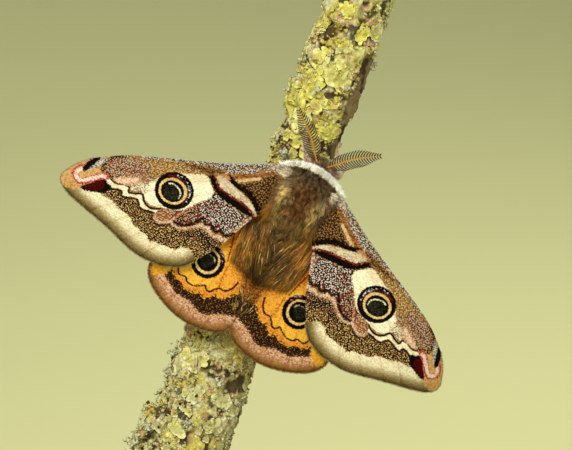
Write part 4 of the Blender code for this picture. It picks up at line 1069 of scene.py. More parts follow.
@dataclass
class Forewing(Wing):
    """A forewing with the sizes that the solids have. The right one's tip curls back."""

    kind: str = "forewing"
    lead: Points = (
        (2.4, 2.5), (4.2, 2.95), (6.0, 2.3), (10.0, 0.0), (15.0, -2.4), (20.0, -4.6), (25.0, -6.95), (28.9, -9.5))
    outer: Points = (
        (28.9, -9.5), (30.5, -11.2), (31.6, -13.0), (31.9, -14.0), (31.5, -14.85), (30.4, -15.55), (28.4, -16.15),
        (23.0, -17.2), (18.2, -18.4), (15.7, -18.6), (13.2, -18.3), (11.3, -17.6), (9.9, -16.6), (9.1, -15.5))
    trail: Points = ((2.8, -3.0), (4.8, -6.0), (6.2, -9.6), (7.1, -12.0), (9.1, -15.5))
    veins: Points = (
        (0.07, 0.04, 0.0), (0.20, 0.14, 0.0), (0.225, 0.27, 0.0), (0.25, 0.40, 0.0), (0.40, 0.50, 0.42),
        (0.55, 0.61, 0.0), (0.575, 0.725, 0.0), (0.60, 0.83, 0.0), (0.84, 0.92, 0.0))
    marks: tuple[Mark, ...] = FORE_MARKS
    grid: tuple[int, int] = (150, 200)
    roll: float = 0.32
    roll_reach: float = 1.9

    def __post_init__(self) -> None:
        """Lays the edges and sets how the tip curls."""
        super().__post_init__()
        self.tip_bend, self.tip_drop = (0.0095, 0.02) if self.side is Side.RIGHT else (0.0, 0.006)

    def height(self, spots: Array, across: Array, along: Array) -> Array:
        """Rises over the root, then falls away outwards and backwards.

        Args:
            spots: Places of the wing seen from above.
            across: Their shares across the wing.
            along: Their shares along it.

        Returns:
            The heights.
        """
        x, y = spots.T
        rise = 6.3 + 1.3 * smooth_step((x - 2.6) / 2.8)
        fall = 0.055 * np.maximum(x - 5.0, 0.0) + 0.010 * np.maximum(-y - 11.0, 0.0) ** 2
        drop = self.tip_drop * np.maximum(x - 17.0, 0.0) ** 2
        return rise - fall - drop - 0.45 * np.exp(-np.maximum(across, 0.0) / 0.06) * smooth_step(along / 0.3)


@dataclass
class Hindwing(Wing):
    """A hindwing with the sizes that the solids have."""

    kind: str = "hindwing"
    lead: Points = ((3.0, -1.0), (5.0, -3.2), (7.8, -6.0), (10.6, -9.2), (12.9, -12.6), (14.2, -16.0), (14.6, -18.4))
    outer: Points = (
        (14.6, -18.4), (14.5, -19.4), (14.0, -20.4), (13.0, -21.4), (11.5, -22.3), (9.5, -23.1),
        (7.5, -23.6), (5.5, -23.75), (3.5, -23.5), (1.8, -23.0), (0.6, -22.3), (0.06, -21.4))
    trail: Points = ((1.5, -3.7), (0.3, -6.0), (0.03, -9.0), (0.02, -15.0), (0.06, -21.4))
    veins: Points = (
        (0.06, 0.05, 0.0), (0.28, 0.18, 0.0), (0.31, 0.30, 0.0), (0.40, 0.41, 0.35),
        (0.50, 0.53, 0.0), (0.53, 0.64, 0.0), (0.56, 0.76, 0.0), (0.80, 0.88, 0.0))
    cell_end: float = 0.60
    marks: tuple[Mark, ...] = HIND_MARKS

    def height(self, spots: Array, across: Array, along: Array) -> Array:
        """A low roof over the abdomen, which only the places give."""
        roof = 6.55 - 0.09 * np.maximum(spots[:, 0] - 2.5, 0.0) - 0.018 * np.maximum(-spots[:, 1] - 12.0, 0.0) ** 2
        return 5.0 + (roof - 5.0) * smooth_step((-spots[:, 1] - 1.5) / 8.0)


@dataclass
class Wings:
    """The four wings."""

    fore: WingFinish = WingFinish(
        "forewing_scales", BROWN, FORE_MARKS, math.radians(-27.0),
        (tone(78, 64, 36), tone(156, 134, 86), tone(196, 160, 140)), (1.15, 2.2))
    hind: WingFinish = WingFinish(
        "hindwing_scales", ORANGE, HIND_MARKS, math.radians(-80.0),
        (tone(92, 66, 34), tone(166, 114, 66), tone(206, 160, 140)), (0.8, 1.9))

    def dress(self) -> None:
        """Builds the wings in place of their solids."""
        looks = (self.fore.make(), self.hind.make())
        for side in Side:
            for wing, look in zip((Forewing(side), Hindwing(side)), looks):
                dress(wing.build(), look, (f"{wing.kind}_{side.word}",))


@dataclass(frozen=True)
class ToneSpot:
    """A colour of the coat that fades out round a place of the body, in millimetres."""

    x: float
    y: float
    reach: float
    colour: Colour


COAT_TONES: tuple[ToneSpot, ...] = (
    ToneSpot(0.0, 6.2, 1.2, tone(132, 100, 62)),
    ToneSpot(1.9, 5.5, 0.9, tone(222, 184, 158)),
    ToneSpot(0.0, 3.4, 1.2, tone(112, 90, 62)),
    ToneSpot(2.2, 2.4, 1.1, tone(120, 98, 66)),
    ToneSpot(3.9, 1.2, 1.1, tone(190, 172, 136)),
    ToneSpot(0.0, 0.6, 1.6, tone(132, 86, 46)),
    ToneSpot(0.9, -1.7, 1.2, tone(126, 80, 38)),
    ToneSpot(3.2, -1.0, 1.3, tone(228, 200, 132)),
    ToneSpot(4.0, -2.8, 1.3, tone(206, 158, 84)),
    ToneSpot(1.9, -3.9, 1.2, tone(176, 140, 84)),
    # Painted shade: the dark hollow between the thorax's and the abdomen's hair.
    ToneSpot(0.0, -4.8, 0.9, tone(92, 62, 34)),
    ToneSpot(1.0, -8.0, 2.0, tone(150, 108, 58)),
    ToneSpot(0.0, -12.5, 2.4, tone(158, 116, 62)),
)
CREAM_HAIR = tone(255, 253, 244)
BROWN_HAIR = tone(78, 52, 22)
GOLD_HAIR = tone(122, 84, 30)
AMBER_HAIR = tone(184, 122, 40)
PALE_HAIR = tone(214, 180, 108)
ROOT_BROWN = tone(110, 78, 44)
ROOT_TAN = tone(160, 122, 74)
ROOT_WHITE = tone(222, 212, 186)
WING_STREAKS = (2.4, 0.35, 0.5)


def coat_tones(spots: Array) -> Array:
    """Colours the coat of the body, which its skin and its hair share.

    Args:
        spots: Places in the moth's frame, one a row.

    Returns:
        The colours, one a row.
    """
    weights = np.column_stack([
        np.exp(-((np.hypot(np.abs(spots[:, 0]) - spot.x, spots[:, 1] - spot.y) / spot.reach) ** 2)) + 1e-9
        for spot in COAT_TONES])
    return weights / weights.sum(axis=1, keepdims=True) @ np.array([spot.colour for spot in COAT_TONES])


@dataclass(frozen=True)
class SkinMap:
    """An unwrap of the body: round its long axis and along it."""

    axis_height: float = 4.0
    foot: float = -17.0
    length: float = 26.0
    margin: float = 0.04
    patch: float = 0.003

    @property
    def period(self) -> float:
        """How wide one turn round the body is on the map."""
        return 1 - 2 * self.margin

    def places(self, spots: Array) -> Array:
        """The map's places of points of the moth, one a row."""
        turn = np.arctan2(spots[:, 0], spots[:, 2] - self.axis_height) / (2 * math.pi) + 0.5
        return self.margin + self.period * np.column_stack((turn, (spots[:, 1] - self.foot) / self.length))


SKIN_MAP = SkinMap()


@dataclass(frozen=True)
class HairFinish:
    """The finish of a coat: tinted hairs, darker at the root as painted shade, and uneven from hair to hair."""

    name: str
    root_shade: float = 0.3
    spread: tuple[float, float] = (0.1, 2.0)
    tip: float = 1.15
    roughness: float = 0.5

    def make(self) -> Look:
        """Makes the material, which reads each hair's colour from the mesh.

        Returns:
            The material.
        """
        kit = NodeKit(self.name)
        # Painted shade: darker towards each hair's root, lighter at its tip.
        shade = kit.span(kit.attribute("hair_along"), 0.0, 0.85, (self.root_shade, self.tip), smooth=True)
        uneven = kit.span(kit.attribute("hair_pick"), 0.0, 1.0, self.spread)
        bands = kit.span(kit.noise(kit.place(), 900.0, 3.0), 0.3, 0.7, (0.82, 1.12))
        level = kit.math("MULTIPLY", kit.math("MULTIPLY", shade, uneven), bands)
        colour = kit.shaded(kit.attribute("coat_tone", "Color"), level)
        return kit.finish(colour, self.roughness, Specular_IOR_Level=0.3)


@dataclass(frozen=True)
class SkinFinish:
    """The finish of the skin under the coat: the coat's own tones, darkened as painted shade, and felted."""

    name: str = "skin_under_coat"
    shade: float = 0.4

    def make(self) -> Look:
        """Makes the material, which reads the coat's colour from the mesh.

        Returns:
            The material.
        """
        kit = NodeKit(self.name)
        felt = kit.noise(kit.place(), 2600.0, 4.0, 0.7)
        # Painted shade: the coat's tones darkened under the hair, unevenly felted.
        level = kit.span(felt, 0.25, 0.75, (self.shade * 0.5, self.shade * 1.3))
        colour = kit.shaded(kit.attribute("coat_tone", "Color"), level)
        return kit.finish(colour, 0.85, kit.bump(felt, 0.00012), Specular_IOR_Level=0.2)


@dataclass
class Roots:
    """Places on a surface where hairs grow, in the moth's frame."""

    spots: Array
    normals: Array

    @classmethod
    def on(cls, shape: Shape, count: int, seed: int) -> "Roots":
        """Strews roots evenly over a mesh.

        Args:
            shape: The mesh's points in the moth's frame, and its triangles.
            count: How many roots.
            seed: The chance's seed.

        Returns:
            The roots.
        """
        rng = np.random.default_rng(seed)
        a, b, c = shape[0][shape[1].T]
        cross = np.cross(b - a, c - a)
        area = np.linalg.norm(cross, axis=1)
        picked = rng.choice(len(a), count, p=area / area.sum())
        u, v = rng.random((2, count, 1))
        u, v = np.where(u + v > 1, (1 - u, 1 - v), (u, v))
        spots = a[picked] + u * (b - a)[picked] + v * (c - a)[picked]
        return cls(spots, unit(cross[picked]))

    @classmethod
    def flat(cls, spots: Array) -> "Roots":
        """Roots whose normals point out of the moth's back."""
        return cls(spots, np.tile((0.0, 0.0, 1.0), (len(spots), 1)))

    def kept(self, keep: Array) -> "Roots":
        """The roots for which this is true."""
        return Roots(self.spots[keep], self.normals[keep])


@dataclass
class Hairs:
    """Many solid hairs, each a three sided spike along its own path."""

    name: str
    roots: Array
    paths: Array
    widths: Array | float
    tones: Array | Colour
    seed: int
    streaks: Triple = (3.4, 0.9, 3.4)

    SIDES = 3
    TAPER = (1.0, 0.92, 0.7, 0.45)

    def dress(self, look: Look, slot: str) -> None:
        """Builds the hairs as one piece.

        Args:
            look: Its material.
        """
        rng = np.random.default_rng(self.seed)
        count, stations, _ = self.paths.shape
        rings = stations - 1
        ways = unit(np.diff(self.paths, axis=1))
        across = unit(np.cross(ways, unit(rng.normal(size=(count, 1, 3)))))[:, :, None]
        turns = (np.arange(self.SIDES) * 2 * math.pi / self.SIDES)[:, None]
        ring = across * np.cos(turns) + np.cross(ways[:, :, None], across) * np.sin(turns)
        radii = np.broadcast_to(self.widths, count)[:, None] / 2 * np.array(self.TAPER[-rings:])
        points = (self.paths[:, :rings, None] + ring * radii[:, :, None, None]).reshape(count, -1, 3)
        points = np.hstack((points, self.paths[:, -1:]))
        size = points.shape[1]
        faces = (self.pattern(rings) + (np.arange(count) * size)[:, None, None]).reshape(-1, 3)
        hairs = mesh_object(self.name, MOTH.out(points.reshape(-1, 3)), faces)
        along = np.append(np.repeat(np.linspace(0, 1, stations)[:-1], self.SIDES), 1.0)
        carry(hairs, "hair_along", np.tile(along, count))
        tufts = cloud(self.paths[:, 0] * np.array(self.streaks), 1.0, self.seed)
        picks = np.clip(0.5 + 0.95 * tufts + 0.6 * (rng.random(count) - 0.5), 0, 1)
        carry(hairs, "hair_pick", np.repeat(picks, size))
        carry(hairs, "coat_tone", np.repeat(np.broadcast_to(self.tones, (count, 3)), size, axis=0))
        side = np.append(np.tile(np.arange(self.SIDES) / self.SIDES, rings), 0.5)
        patch = (np.column_stack((side, along)) - 0.5) * SKIN_MAP.patch
        carry_map(hairs, (SKIN_MAP.places(self.roots)[:, None] + patch).reshape(-1, 2))
        dress(hairs, look)

    def pattern(self, rings: int) -> Array:
        """Joins up one hair, whose tip is its last point.

        Args:
            rings: How many rings it has.

        Returns:
            Its triangles.
        """
        tip = rings * self.SIDES
        faces = ring_faces(rings, self.SIDES)
        faces = faces[(faces != tip).all(axis=1)]
        return np.vstack(((0, 2, 1), np.minimum(faces, tip)))


@dataclass(frozen=True)
class Growth:
    """How hairs grow from their roots. Sizes are in millimetres."""

    length: float
    width: float
    lift: float
    stations: int = 3
    length_spread: float = 0.3
    clump: float = 0.5
    clump_size: float = 0.7
    swerve: float = 0.12
    bend: float = 1.0
    sink: float = 0.25

    def paths(self, roots: Roots, ways: Array, seed: int, lengths: Array | float = 1.0) -> Array:
        """Grows the hairs' paths, drawn together into clumps.

        Args:
            roots: Where they grow.
            ways: The way that each lies along the surface.
            seed: The chance's seed.
            lengths: A share of the usual length for each hair.

        Returns:
            The paths, hair by hair and station by station.
        """
        rng = np.random.default_rng(seed)
        count = len(roots.spots)
        flat = unit(ways - np.sum(ways * roots.normals, axis=1, keepdims=True) * roots.normals)
        cells = np.floor(roots.spots / self.clump_size + rng.normal(size=roots.spots.shape) * 0.12)
        which = np.unique(cells, axis=0, return_inverse=True)[1].ravel()
        centres = np.zeros((which.max() + 1, 3))
        np.add.at(centres, which, roots.spots)
        centres /= np.bincount(which)[:, None]
        lean = self.swerve * (rng.normal(size=len(centres))[which] + 0.6 * rng.normal(size=count))
        flat = unit(flat + np.cross(roots.normals, flat) * lean[:, None])
        long = self.length * (1 + self.length_spread * rng.uniform(-1, 1, count)) * lengths
        lift = self.lift * rng.uniform(0.7, 1.3, count)[:, None, None]
        pull = (centres[which] - roots.spots) * self.clump
        t = np.linspace(0, 1, self.stations)[None, :, None]
        away = flat[:, None] * t * np.cos(lift)
        rise = roots.normals[:, None] * (t - 0.5 * self.bend * t**2) * np.sin(lift)
        sunk = roots.normals[:, None] * self.sink * (1 - t)
        return roots.spots[:, None] + (away + rise) * long[:, None, None] + pull[:, None] * t**1.5 - sunk


@dataclass
class Body:
    """Thorax, head and abdomen as one skin, and the coat that grows on it. Sizes are in millimetres.

    Each core is an ellipsoid: its middle, its radii and its bluntness. They are the thorax, the head,
    the abdomen and the waist between them.
    """

    cores: tuple[tuple[Triple, Triple, float], ...] = (
        ((0.0, -0.7, 4.8), (3.8, 4.6, 3.0), 0.62), ((0.0, 5.1, 4.2), (1.55, 1.15, 1.55), 1.0),
        ((0.0, -9.9, 3.05), (1.75, 5.3, 1.55), 1.0), ((0.0, -4.6, 3.6), (1.9, 2.0, 1.6), 1.0))
    grain: float = 0.2
    hair_count: int = 56000
    thorax_split: float = -0.6
    abdomen_start: float = -5.6
    belly_share: float = 0.45
    eye: Triple = (1.6, 5.4, 3.75)
    eye_clearance: float = 0.95
    face_centre: Triple = (0.0, 3.2, 5.2)

    def dress(self) -> None:
        """Builds the skin and the coat in place of the solids."""
        points, faces = joined([egg(*core) for core in self.cores])
        skin = mesh_object("body_skin", MOTH.out(points), faces)
        remeshed(skin, self.grain * MM, 3)
        points, faces = mesh_of(skin)
        carry(skin, "coat_tone", coat_tones(points))
        carry_map(skin, SKIN_MAP.places(points), SKIN_MAP.period)
        dress(skin, SkinFinish().make(), ("thorax", "head", "abdomen"))
        self.look = HairFinish("moth_hair").make()
        roots = Roots.on((points, faces), self.hair_count, 5)
        shown = np.random.default_rng(6).random(self.hair_count) < self.belly_share
        roots = roots.kept((roots.normals[:, 2] > -0.25) | shown)
        self.thorax_coat(roots)
        self.head_coat(Roots.on((points, faces), self.hair_count, 15))
        self.abdomen_coat(roots)

    def coat(self, name: str, roots: Roots, growth: Growth, ways: Array, seed: int, lengths: Array | float) -> None:
        """Grows one stretch of the coat.

        Args:
            name: Its piece's name.
            roots: Where it grows.
            growth: How it grows.
            ways: The way that each hair lies.
            seed: The chance's seed.
            lengths: A share of the usual length for each hair.
        """
        paths = growth.paths(roots, ways, seed, lengths)
        widths = growth.width * np.random.default_rng(seed + 1).uniform(0.7, 1.3, len(paths))
        Hairs(name, roots.spots, paths, widths, coat_tones(roots.spots), seed).dress(self.look, "moth_fur")

    def thorax_coat(self, roots: Roots) -> None:
        """Grows short pile in the middle and long tufts that run back over the wings' roots.

        Args:
            roots: Roots all over the body.
        """
        roots = roots.kept((roots.spots[:, 1] < 4.3) & (roots.spots[:, 1] > self.abdomen_start))
        x, y, _ = roots.spots.T
        aside = np.clip(x * 0.10, -0.4, 0.4) + np.where(y < -3.4, -0.22 * x, 0.0)
        ways = level_with(np.column_stack((aside, np.full(len(x), -1.0))))
        longer = 0.62 + 0.5 * smooth_step((np.abs(x) - 1.4) / 1.8) + 0.45 * smooth_step((-y - 2.0) / 2.6)
        longer += 0.3 * smooth_step((y - 1.2) / 1.6)
        longer += 1.3 * smooth_step((-y - 3.8) / 1.2) * smooth_step((1.9 - np.abs(x)) / 0.8)
        front = y > self.thorax_split
        for end, seed, lift, part in (("front", 21, 0.95, front), ("rear", 23, 0.7, ~front)):
            growth = Growth(1.6, 0.12, lift, clump=0.8, clump_size=0.75, swerve=0.35)
            self.coat(f"thorax_{end}_coat", roots.kept(part), growth, ways[part], seed, longer[part])

    def head_coat(self, roots: Roots) -> None:
        """Grows short hair that fans out from the collar over the face, longer on the cheeks.

        Args:
            roots: Roots all over the body.
        """
        keep = (roots.spots[:, 1] > 4.4) & (roots.spots[:, 2] > 2.2)
        for side in Side:
            eye = np.array(self.eye) * (side.value, 1, 1)
            keep &= np.linalg.norm(roots.spots - eye, axis=1) > self.eye_clearance
        roots = roots.kept(keep)
        growth = Growth(0.95, 0.06, 0.8, clump=0.5, clump_size=0.45, swerve=0.25)
        cheeks = 1.0 + 1.1 * smooth_step((np.abs(roots.spots[:, 0]) - 0.8) / 0.5)
        ways = (roots.spots - np.array(self.face_centre)) * (1.0, 1.0, 0.4)
        self.coat("head_coat", roots, growth, ways, 31, cheeks)

    def abdomen_coat(self, roots: Roots) -> None:
        """Grows soft hair that runs back along the abdomen.

        Args:
            roots: Roots all over the body.
        """
        roots = roots.kept(roots.spots[:, 1] <= self.abdomen_start)
        ways = roots.spots * (0.1, 0.0, 0.0) - (0.0, 1.0, 0.0)
        growth = Growth(1.25, 0.08, 0.4, clump=0.6, clump_size=0.6, swerve=0.15)
        self.coat("abdomen_coat", roots, growth, ways, 41, 1.0)


@dataclass
class Collar:
    """The pale collar: a band with dense hair that leans back and outwards."""

    arc: Points = ((-5.1, 2.8, 6.9), (-2.7, 4.1, 6.9), (0.0, 4.55, 7.3), (2.7, 4.1, 6.9), (5.1, 2.8, 6.9))
    radii: tuple[float, ...] = (0.1, 0.2, 0.27, 0.24, 0.12)
    count: int = 9000
    growth: Growth = Growth(0.66, 0.06, 0.8, length_spread=0.5, clump=0.6, clump_size=0.35, swerve=0.45, sink=0.15)
    neck: Triple = (0.0, 1.5, 4.2)

    def dress(self) -> None:
        """Builds the band and its hair in place of the solid."""
        curve, shares, neck = Spline(self.arc), np.linspace(0, 1, 30), np.array(self.neck)
        ways = curve.tangent(shares)
        across = unit(np.cross(ways, (0.0, 1.0, 0.2)))
        radii = np.interp(shares, np.linspace(0, 1, len(self.radii)), self.radii)
        points, faces = tube_grid(curve.at(shares), across, np.cross(ways, across), radii, 14)
        band = mesh_object("collar_band", MOTH.out(points), faces)
        carry(band, "coat_tone", np.tile(CREAM_HAIR, (len(points), 1)))
        carry_map(band, SKIN_MAP.places(points), SKIN_MAP.period)
        dress(band, SkinFinish("collar_skin", 0.95).make(), ("collar",))
        roots = Roots.on((points, faces), self.count, 51)
        line = curve.at(np.linspace(0, 1, 60))
        nearest = line[np.argmin(np.linalg.norm(roots.spots[:, None] - line, axis=2), axis=1)]
        roots.normals = unit(roots.spots - nearest)
        roots = roots.kept(np.sum(roots.normals * (roots.spots - neck), axis=1) > -0.15)
        out = unit((roots.spots - neck) * (1.0, 0.0, 1.0))
        paths = self.growth.paths(roots, out * 0.55 - np.array((0.0, 1.0, 0.0)), 52)
        look = HairFinish("collar_hair", 0.8, (0.72, 1.45), 1.2, 0.6).make()
        hairs = Hairs("collar_coat", roots.spots, paths, self.growth.width, CREAM_HAIR, 53)
        hairs.dress(look, "collar_fur")


@dataclass
class WingHair:
    """Long hair on the wings' roots."""

    hind_count: int = 8600
    strays: int = 30
    fore_count: int = 2400
    hind_growth: Growth = Growth(4.2, 0.1, 0.1, stations=4, clump=0.4, clump_size=0.8, swerve=0.07)
    fore_growth: Growth = Growth(1.1, 0.06, 0.2, clump=0.35, clump_size=0.5, swerve=0.1)
    hover: float = 0.28

    def dress(self) -> None:
        """Grows the hair of all four wings."""
        self.look = HairFinish("wing_hair", 0.4).make()
        for number, side in enumerate(Side):
            self.hind(Hindwing(side), 61 + 10 * number)
            self.fore(Forewing(side), 81 + 10 * number)

    def lay(self, wing: Wing, growth: Growth, spots: Array, ways: Array, lengths: Array, widths: Array,
            tones: Array, seed: int) -> None:
        """Builds one wing's hair, which follows its upper face.

        Args:
            wing: The wing.
            growth: How the hair grows.
            spots: The roots' places in the wing's plane, as if on the right.
            ways: The way that each hair lies in that plane.
            lengths: A share of the usual length for each hair.
            widths: A share of the usual width for each hair.
            tones: The colour of each hair.
            seed: The chance's seed.
        """
        rng = np.random.default_rng(seed)
        paths = growth.paths(Roots.flat(level_with(spots)), level_with(ways), seed, lengths)
        x, y, z = np.moveaxis(paths, 2, 0)
        middle = np.full(x.size, 0.5)
        level = wing.height(np.column_stack((x.ravel(), y.ravel())), middle, middle)
        z += level.reshape(x.shape) + wing.thickness / 2
        hover = rng.uniform(0.1, 1.0, len(spots))[:, None] * self.hover
        z += hover * np.sin(np.linspace(0, 2.6, growth.stations))
        x *= wing.side.value
        name, widths = f"{wing.kind}_hair_{wing.side.word}", growth.width * widths
        hairs = Hairs(name, paths[:, 0], paths, widths, tones, seed, WING_STREAKS)
        hairs.dress(self.look, f"{wing.kind}_scales")

    def hind(self, wing: Wing, seed: int) -> None:
        """Grows a hindwing's hair, which runs back towards the middle line, and a few pale strays.

        Args:
            wing: The wing.
            seed: The chance's seed.
        """
        rng = np.random.default_rng(seed)
        x = 0.5 + 5.2 * rng.random(self.hind_count) ** 0.85
        y = -2.6 - 8.4 * rng.random(self.hind_count)
        keep = (x < 3.2 + 0.62 * (-y - 2.0)) & (x < 5.7 - 0.16 * (-y - 6.0)) & (x > 1.7 - 0.6 * (-y - 3.0))
        x = np.append(x[keep], rng.uniform(0.1, 2.2, self.strays))
        y = np.append(y[keep], rng.uniform(-18.2, -14.5, self.strays))
        turn = np.radians(25.0) * np.clip(1.15 - x / 7.0, 0.35, 1.0)
        lengths = np.clip((14.2 - 0.30 * x + y) / 4.2, 0.35, 1.0) * rng.uniform(0.8, 1.1, len(x))
        lengths = np.minimum(lengths, np.maximum(x, 0.4) / np.sin(turn) / self.hind_growth.length)
        # Paler outwards; darker towards the middle line, as painted shade in the valley between the hindwings.
        pick = rng.random(len(x)) + 0.2 * np.maximum(x - 2.4, 0.0) - 0.3 * np.maximum(1.6 - x, 0.0)
        pick[rng.random(len(x)) < 0.07] = 2.0
        pick[-self.strays:] = 2.0
        tones = np.array((BROWN_HAIR, GOLD_HAIR, AMBER_HAIR, PALE_HAIR))[np.searchsorted((0.52, 1.0, 1.6), pick)]
        ways = np.column_stack((-np.sin(turn), -np.cos(turn)))
        widths = rng.uniform(0.6, 1.3, len(x))
        self.lay(wing, self.hind_growth, np.column_stack((x, y)), ways, lengths, widths, tones, seed)

    def fore(self, wing: Wing, seed: int) -> None:
        """Grows a forewing's hair, white along the leading edge, brown behind it and golden at the rear.

        Args:
            wing: The wing.
            seed: The chance's seed.
        """
        rng = np.random.default_rng(seed)
        along, across = 0.055 * rng.random(self.fore_count), rng.random(self.fore_count)
        spots = wing.plan(across, along)
        rear = smooth_step((across - 0.7) / 0.25)
        ways = wing.plan(across, along + 0.08) - spots
        ways = unit(ways + np.array((0.0, -0.25)) * across[:, None] + np.array((0.12, -1.6)) * rear[:, None])
        lengths = rng.uniform(0.6, 1.1, len(spots)) * (1.0 + 1.7 * rear)
        white = (across < 0.2) & (rng.random(len(spots)) < 0.85)
        pick = rng.random(len(spots))
        kind = np.where(white, 4, np.where(rear > 0.5, 2 + (pick >= 0.4), pick >= 0.5))
        tones = np.array((ROOT_BROWN, ROOT_TAN, GOLD_HAIR, AMBER_HAIR, ROOT_WHITE))[kind]
        widths = rng.uniform(0.6, 1.3, len(spots))
        self.lay(wing, self.fore_growth, spots, ways, lengths, widths, tones, seed)


@dataclass
class Fringes:
    """The short scales that stand out along the wings' outer margins. Sizes are in millimetres."""

    count: int = 2400
    growth: Growth = Growth(0.26, 0.06, 0.0, length_spread=0.4, clump=0.25, clump_size=0.3, swerve=0.2, sink=0.0)
    tones: tuple[Colour, Colour] = (tone(166, 146, 100), tone(170, 122, 74))
    inset: float = 0.12
    spread: float = 0.08

    def dress(self) -> None:
        """Grows the four fringes."""
        look = HairFinish("wing_fringe", 0.8, (0.6, 1.3), 1.0, 0.6).make()
        for seed, side in enumerate(Side, 141):
            for wing, colour in zip((Forewing(side), Hindwing(side)), self.tones):
                rng = np.random.default_rng(seed)
                spots, ways = wing.fringe_roots(rng.random(self.count))
                paths = self.growth.paths(Roots.flat(spots - ways * self.inset), ways, seed)
                paths[:, :, 2] += rng.uniform(-self.spread, self.spread, self.count)[:, None]
                name = f"{wing.kind}_fringe_{side.word}"
                widths = self.growth.width * rng.uniform(0.7, 1.3, self.count)
                hairs = Hairs(name, paths[:, 0], paths, widths, colour, seed, WING_STREAKS)
                hairs.dress(look, f"{wing.kind}_scales")


@dataclass
class Eyes:
    """The two round, faceted eyes."""

    centre: Triple = (1.6, 5.4, 3.75)
    radius: float = 0.9

    def dress(self) -> None:
        """Builds both eyes in place of the solids."""
        kit = NodeKit("eye_facets")
        near, _ = kit.cells(kit.place(), 9000.0)
        dome = kit.span(near, 0.0, 0.7, (1.0, 0.0))
        colour = kit.mix(kit.span(kit.noise(kit.place(), 1400.0), 0.35, 0.7), tone(16, 12, 10), tone(58, 44, 32))
        rough = kit.span(dome, 0.0, 1.0, (0.4, 0.22))
        look = kit.finish(colour, rough, kit.bump(dome, 0.00004, 0.6), Specular_IOR_Level=0.5)
        for side in Side:
            points, faces = egg(np.array(self.centre) * (side.value, 1, 1), (self.radius,) * 3, sides=48, rings=32)
            eye = mesh_object(f"eye_{side.word}_faceted", MOTH.out(points), faces)
            dress(eye, look, (f"eye_{side.word}",))


@dataclass
class Antennae:
    """The two feathered antennae: a shaft with a row of rays on either side. Sizes are in millimetres."""

    root: Triple = (0.8, 5.5, 5.45)
    tip: Triple = (6.65, 10.65, 7.2)
    bow: Triple = (-0.2, 0.35, 0.3)
    shaft_radii: tuple[float, float] = (0.13, 0.07)
    rays: int = 20
    ray_length: float = 1.66
    ray_radius: float = 0.12
    ray_sides: int = 5
    sweep: float = math.radians(28.0)
    front_lift: float = math.radians(42.0)

    def dress(self) -> None:
        """Builds both antennae in place of the solids, with ochre shafts and dark brown rays."""
        kit = NodeKit("antenna_horn")
        grain = kit.noise(kit.place(), 3500.0, 3.0)
        shaft = kit.mix(grain, tone(176, 118, 30), tone(226, 172, 60))
        ray = kit.mix(grain, tone(50, 32, 12), tone(86, 60, 26))
        colour = kit.mix(kit.span(kit.attribute("ray_along"), 0.04, 0.2), shaft, ray)
        self.look = kit.finish(colour, 0.5, kit.bump(grain, 0.00003))
        for side in Side:
            self.one(side)

    @staticmethod
    def rod(line: Array, ways: Array, radii: Array, sides: int) -> Shape:
        """A tapered rod along a line, whose direction is given at each of its points."""
        across = unit(np.cross(ways, (0.0, 0.0, 1.0)))
        return tube_grid(line, across, np.cross(across, ways), radii, sides)

    def one(self, side: Side) -> None:
        """Builds one antenna.

        Args:
            side: Its side.
        """
        root, tip = np.array(self.root), np.array(self.tip)
        middle = (root + tip) / 2 + np.array(self.bow)
        curve = Spline(np.array((root, middle, tip)) * (side.value, 1.0, 1.0))
        steps = np.linspace(0, 1, 40)
        shapes = [self.rod(curve.at(steps), curve.tangent(steps), np.linspace(*self.shaft_radii, 40), 10)]
        far = [np.zeros(len(shapes[0][0]))]
        for row in (-1.0, 1.0):
            for share in np.linspace(0.07, 0.99, self.rays):
                line = self.ray(curve, share, row, row * side.value < 0)
                steps, ways = np.linspace(0, 1, len(line)), unit(np.gradient(line, axis=0))
                shapes.append(self.rod(line, ways, self.ray_radius * (1 - 0.3 * steps), self.ray_sides))
                far.append(np.append(np.repeat(steps, self.ray_sides), (0.0, 1.0)))
        points, faces = joined(shapes)
        piece = mesh_object(f"antenna_{side.word}_feather", MOTH.out(points), faces)
        carry(piece, "ray_along", np.concatenate(far))
        dress(piece, self.look, (f"antenna_{side.word}",))

    def ray(self, curve: Spline, share: float, row: float, front: bool) -> Array:
        """Bends a ray's middle line.

        Args:
            curve: The shaft.
            share: Where on the shaft the ray starts.
            row: The row that it stands in, -1 or 1.
            front: True in the row that is lifted.

        Returns:
            The line's points.
        """
        root, along = curve.at(share), curve.tangent(share)
        flat = unit(np.cross((0.0, 0.0, 1.0), along))
        lift = self.front_lift if front else 0.0
        out = -flat * row * math.cos(lift) + np.cross(along, flat) * math.sin(lift)
        length = self.ray_length * min(1.0, 0.4 + 3.0 * share) * (1.0 - 0.75 * smooth_step((share - 0.5) / 0.55))
        steps = np.linspace(0, 1, 7)[:, None]
        turn = self.sweep * (0.45 + 0.75 * steps)
        return root + (out * np.cos(turn) + along * np.sin(turn)) * steps * length


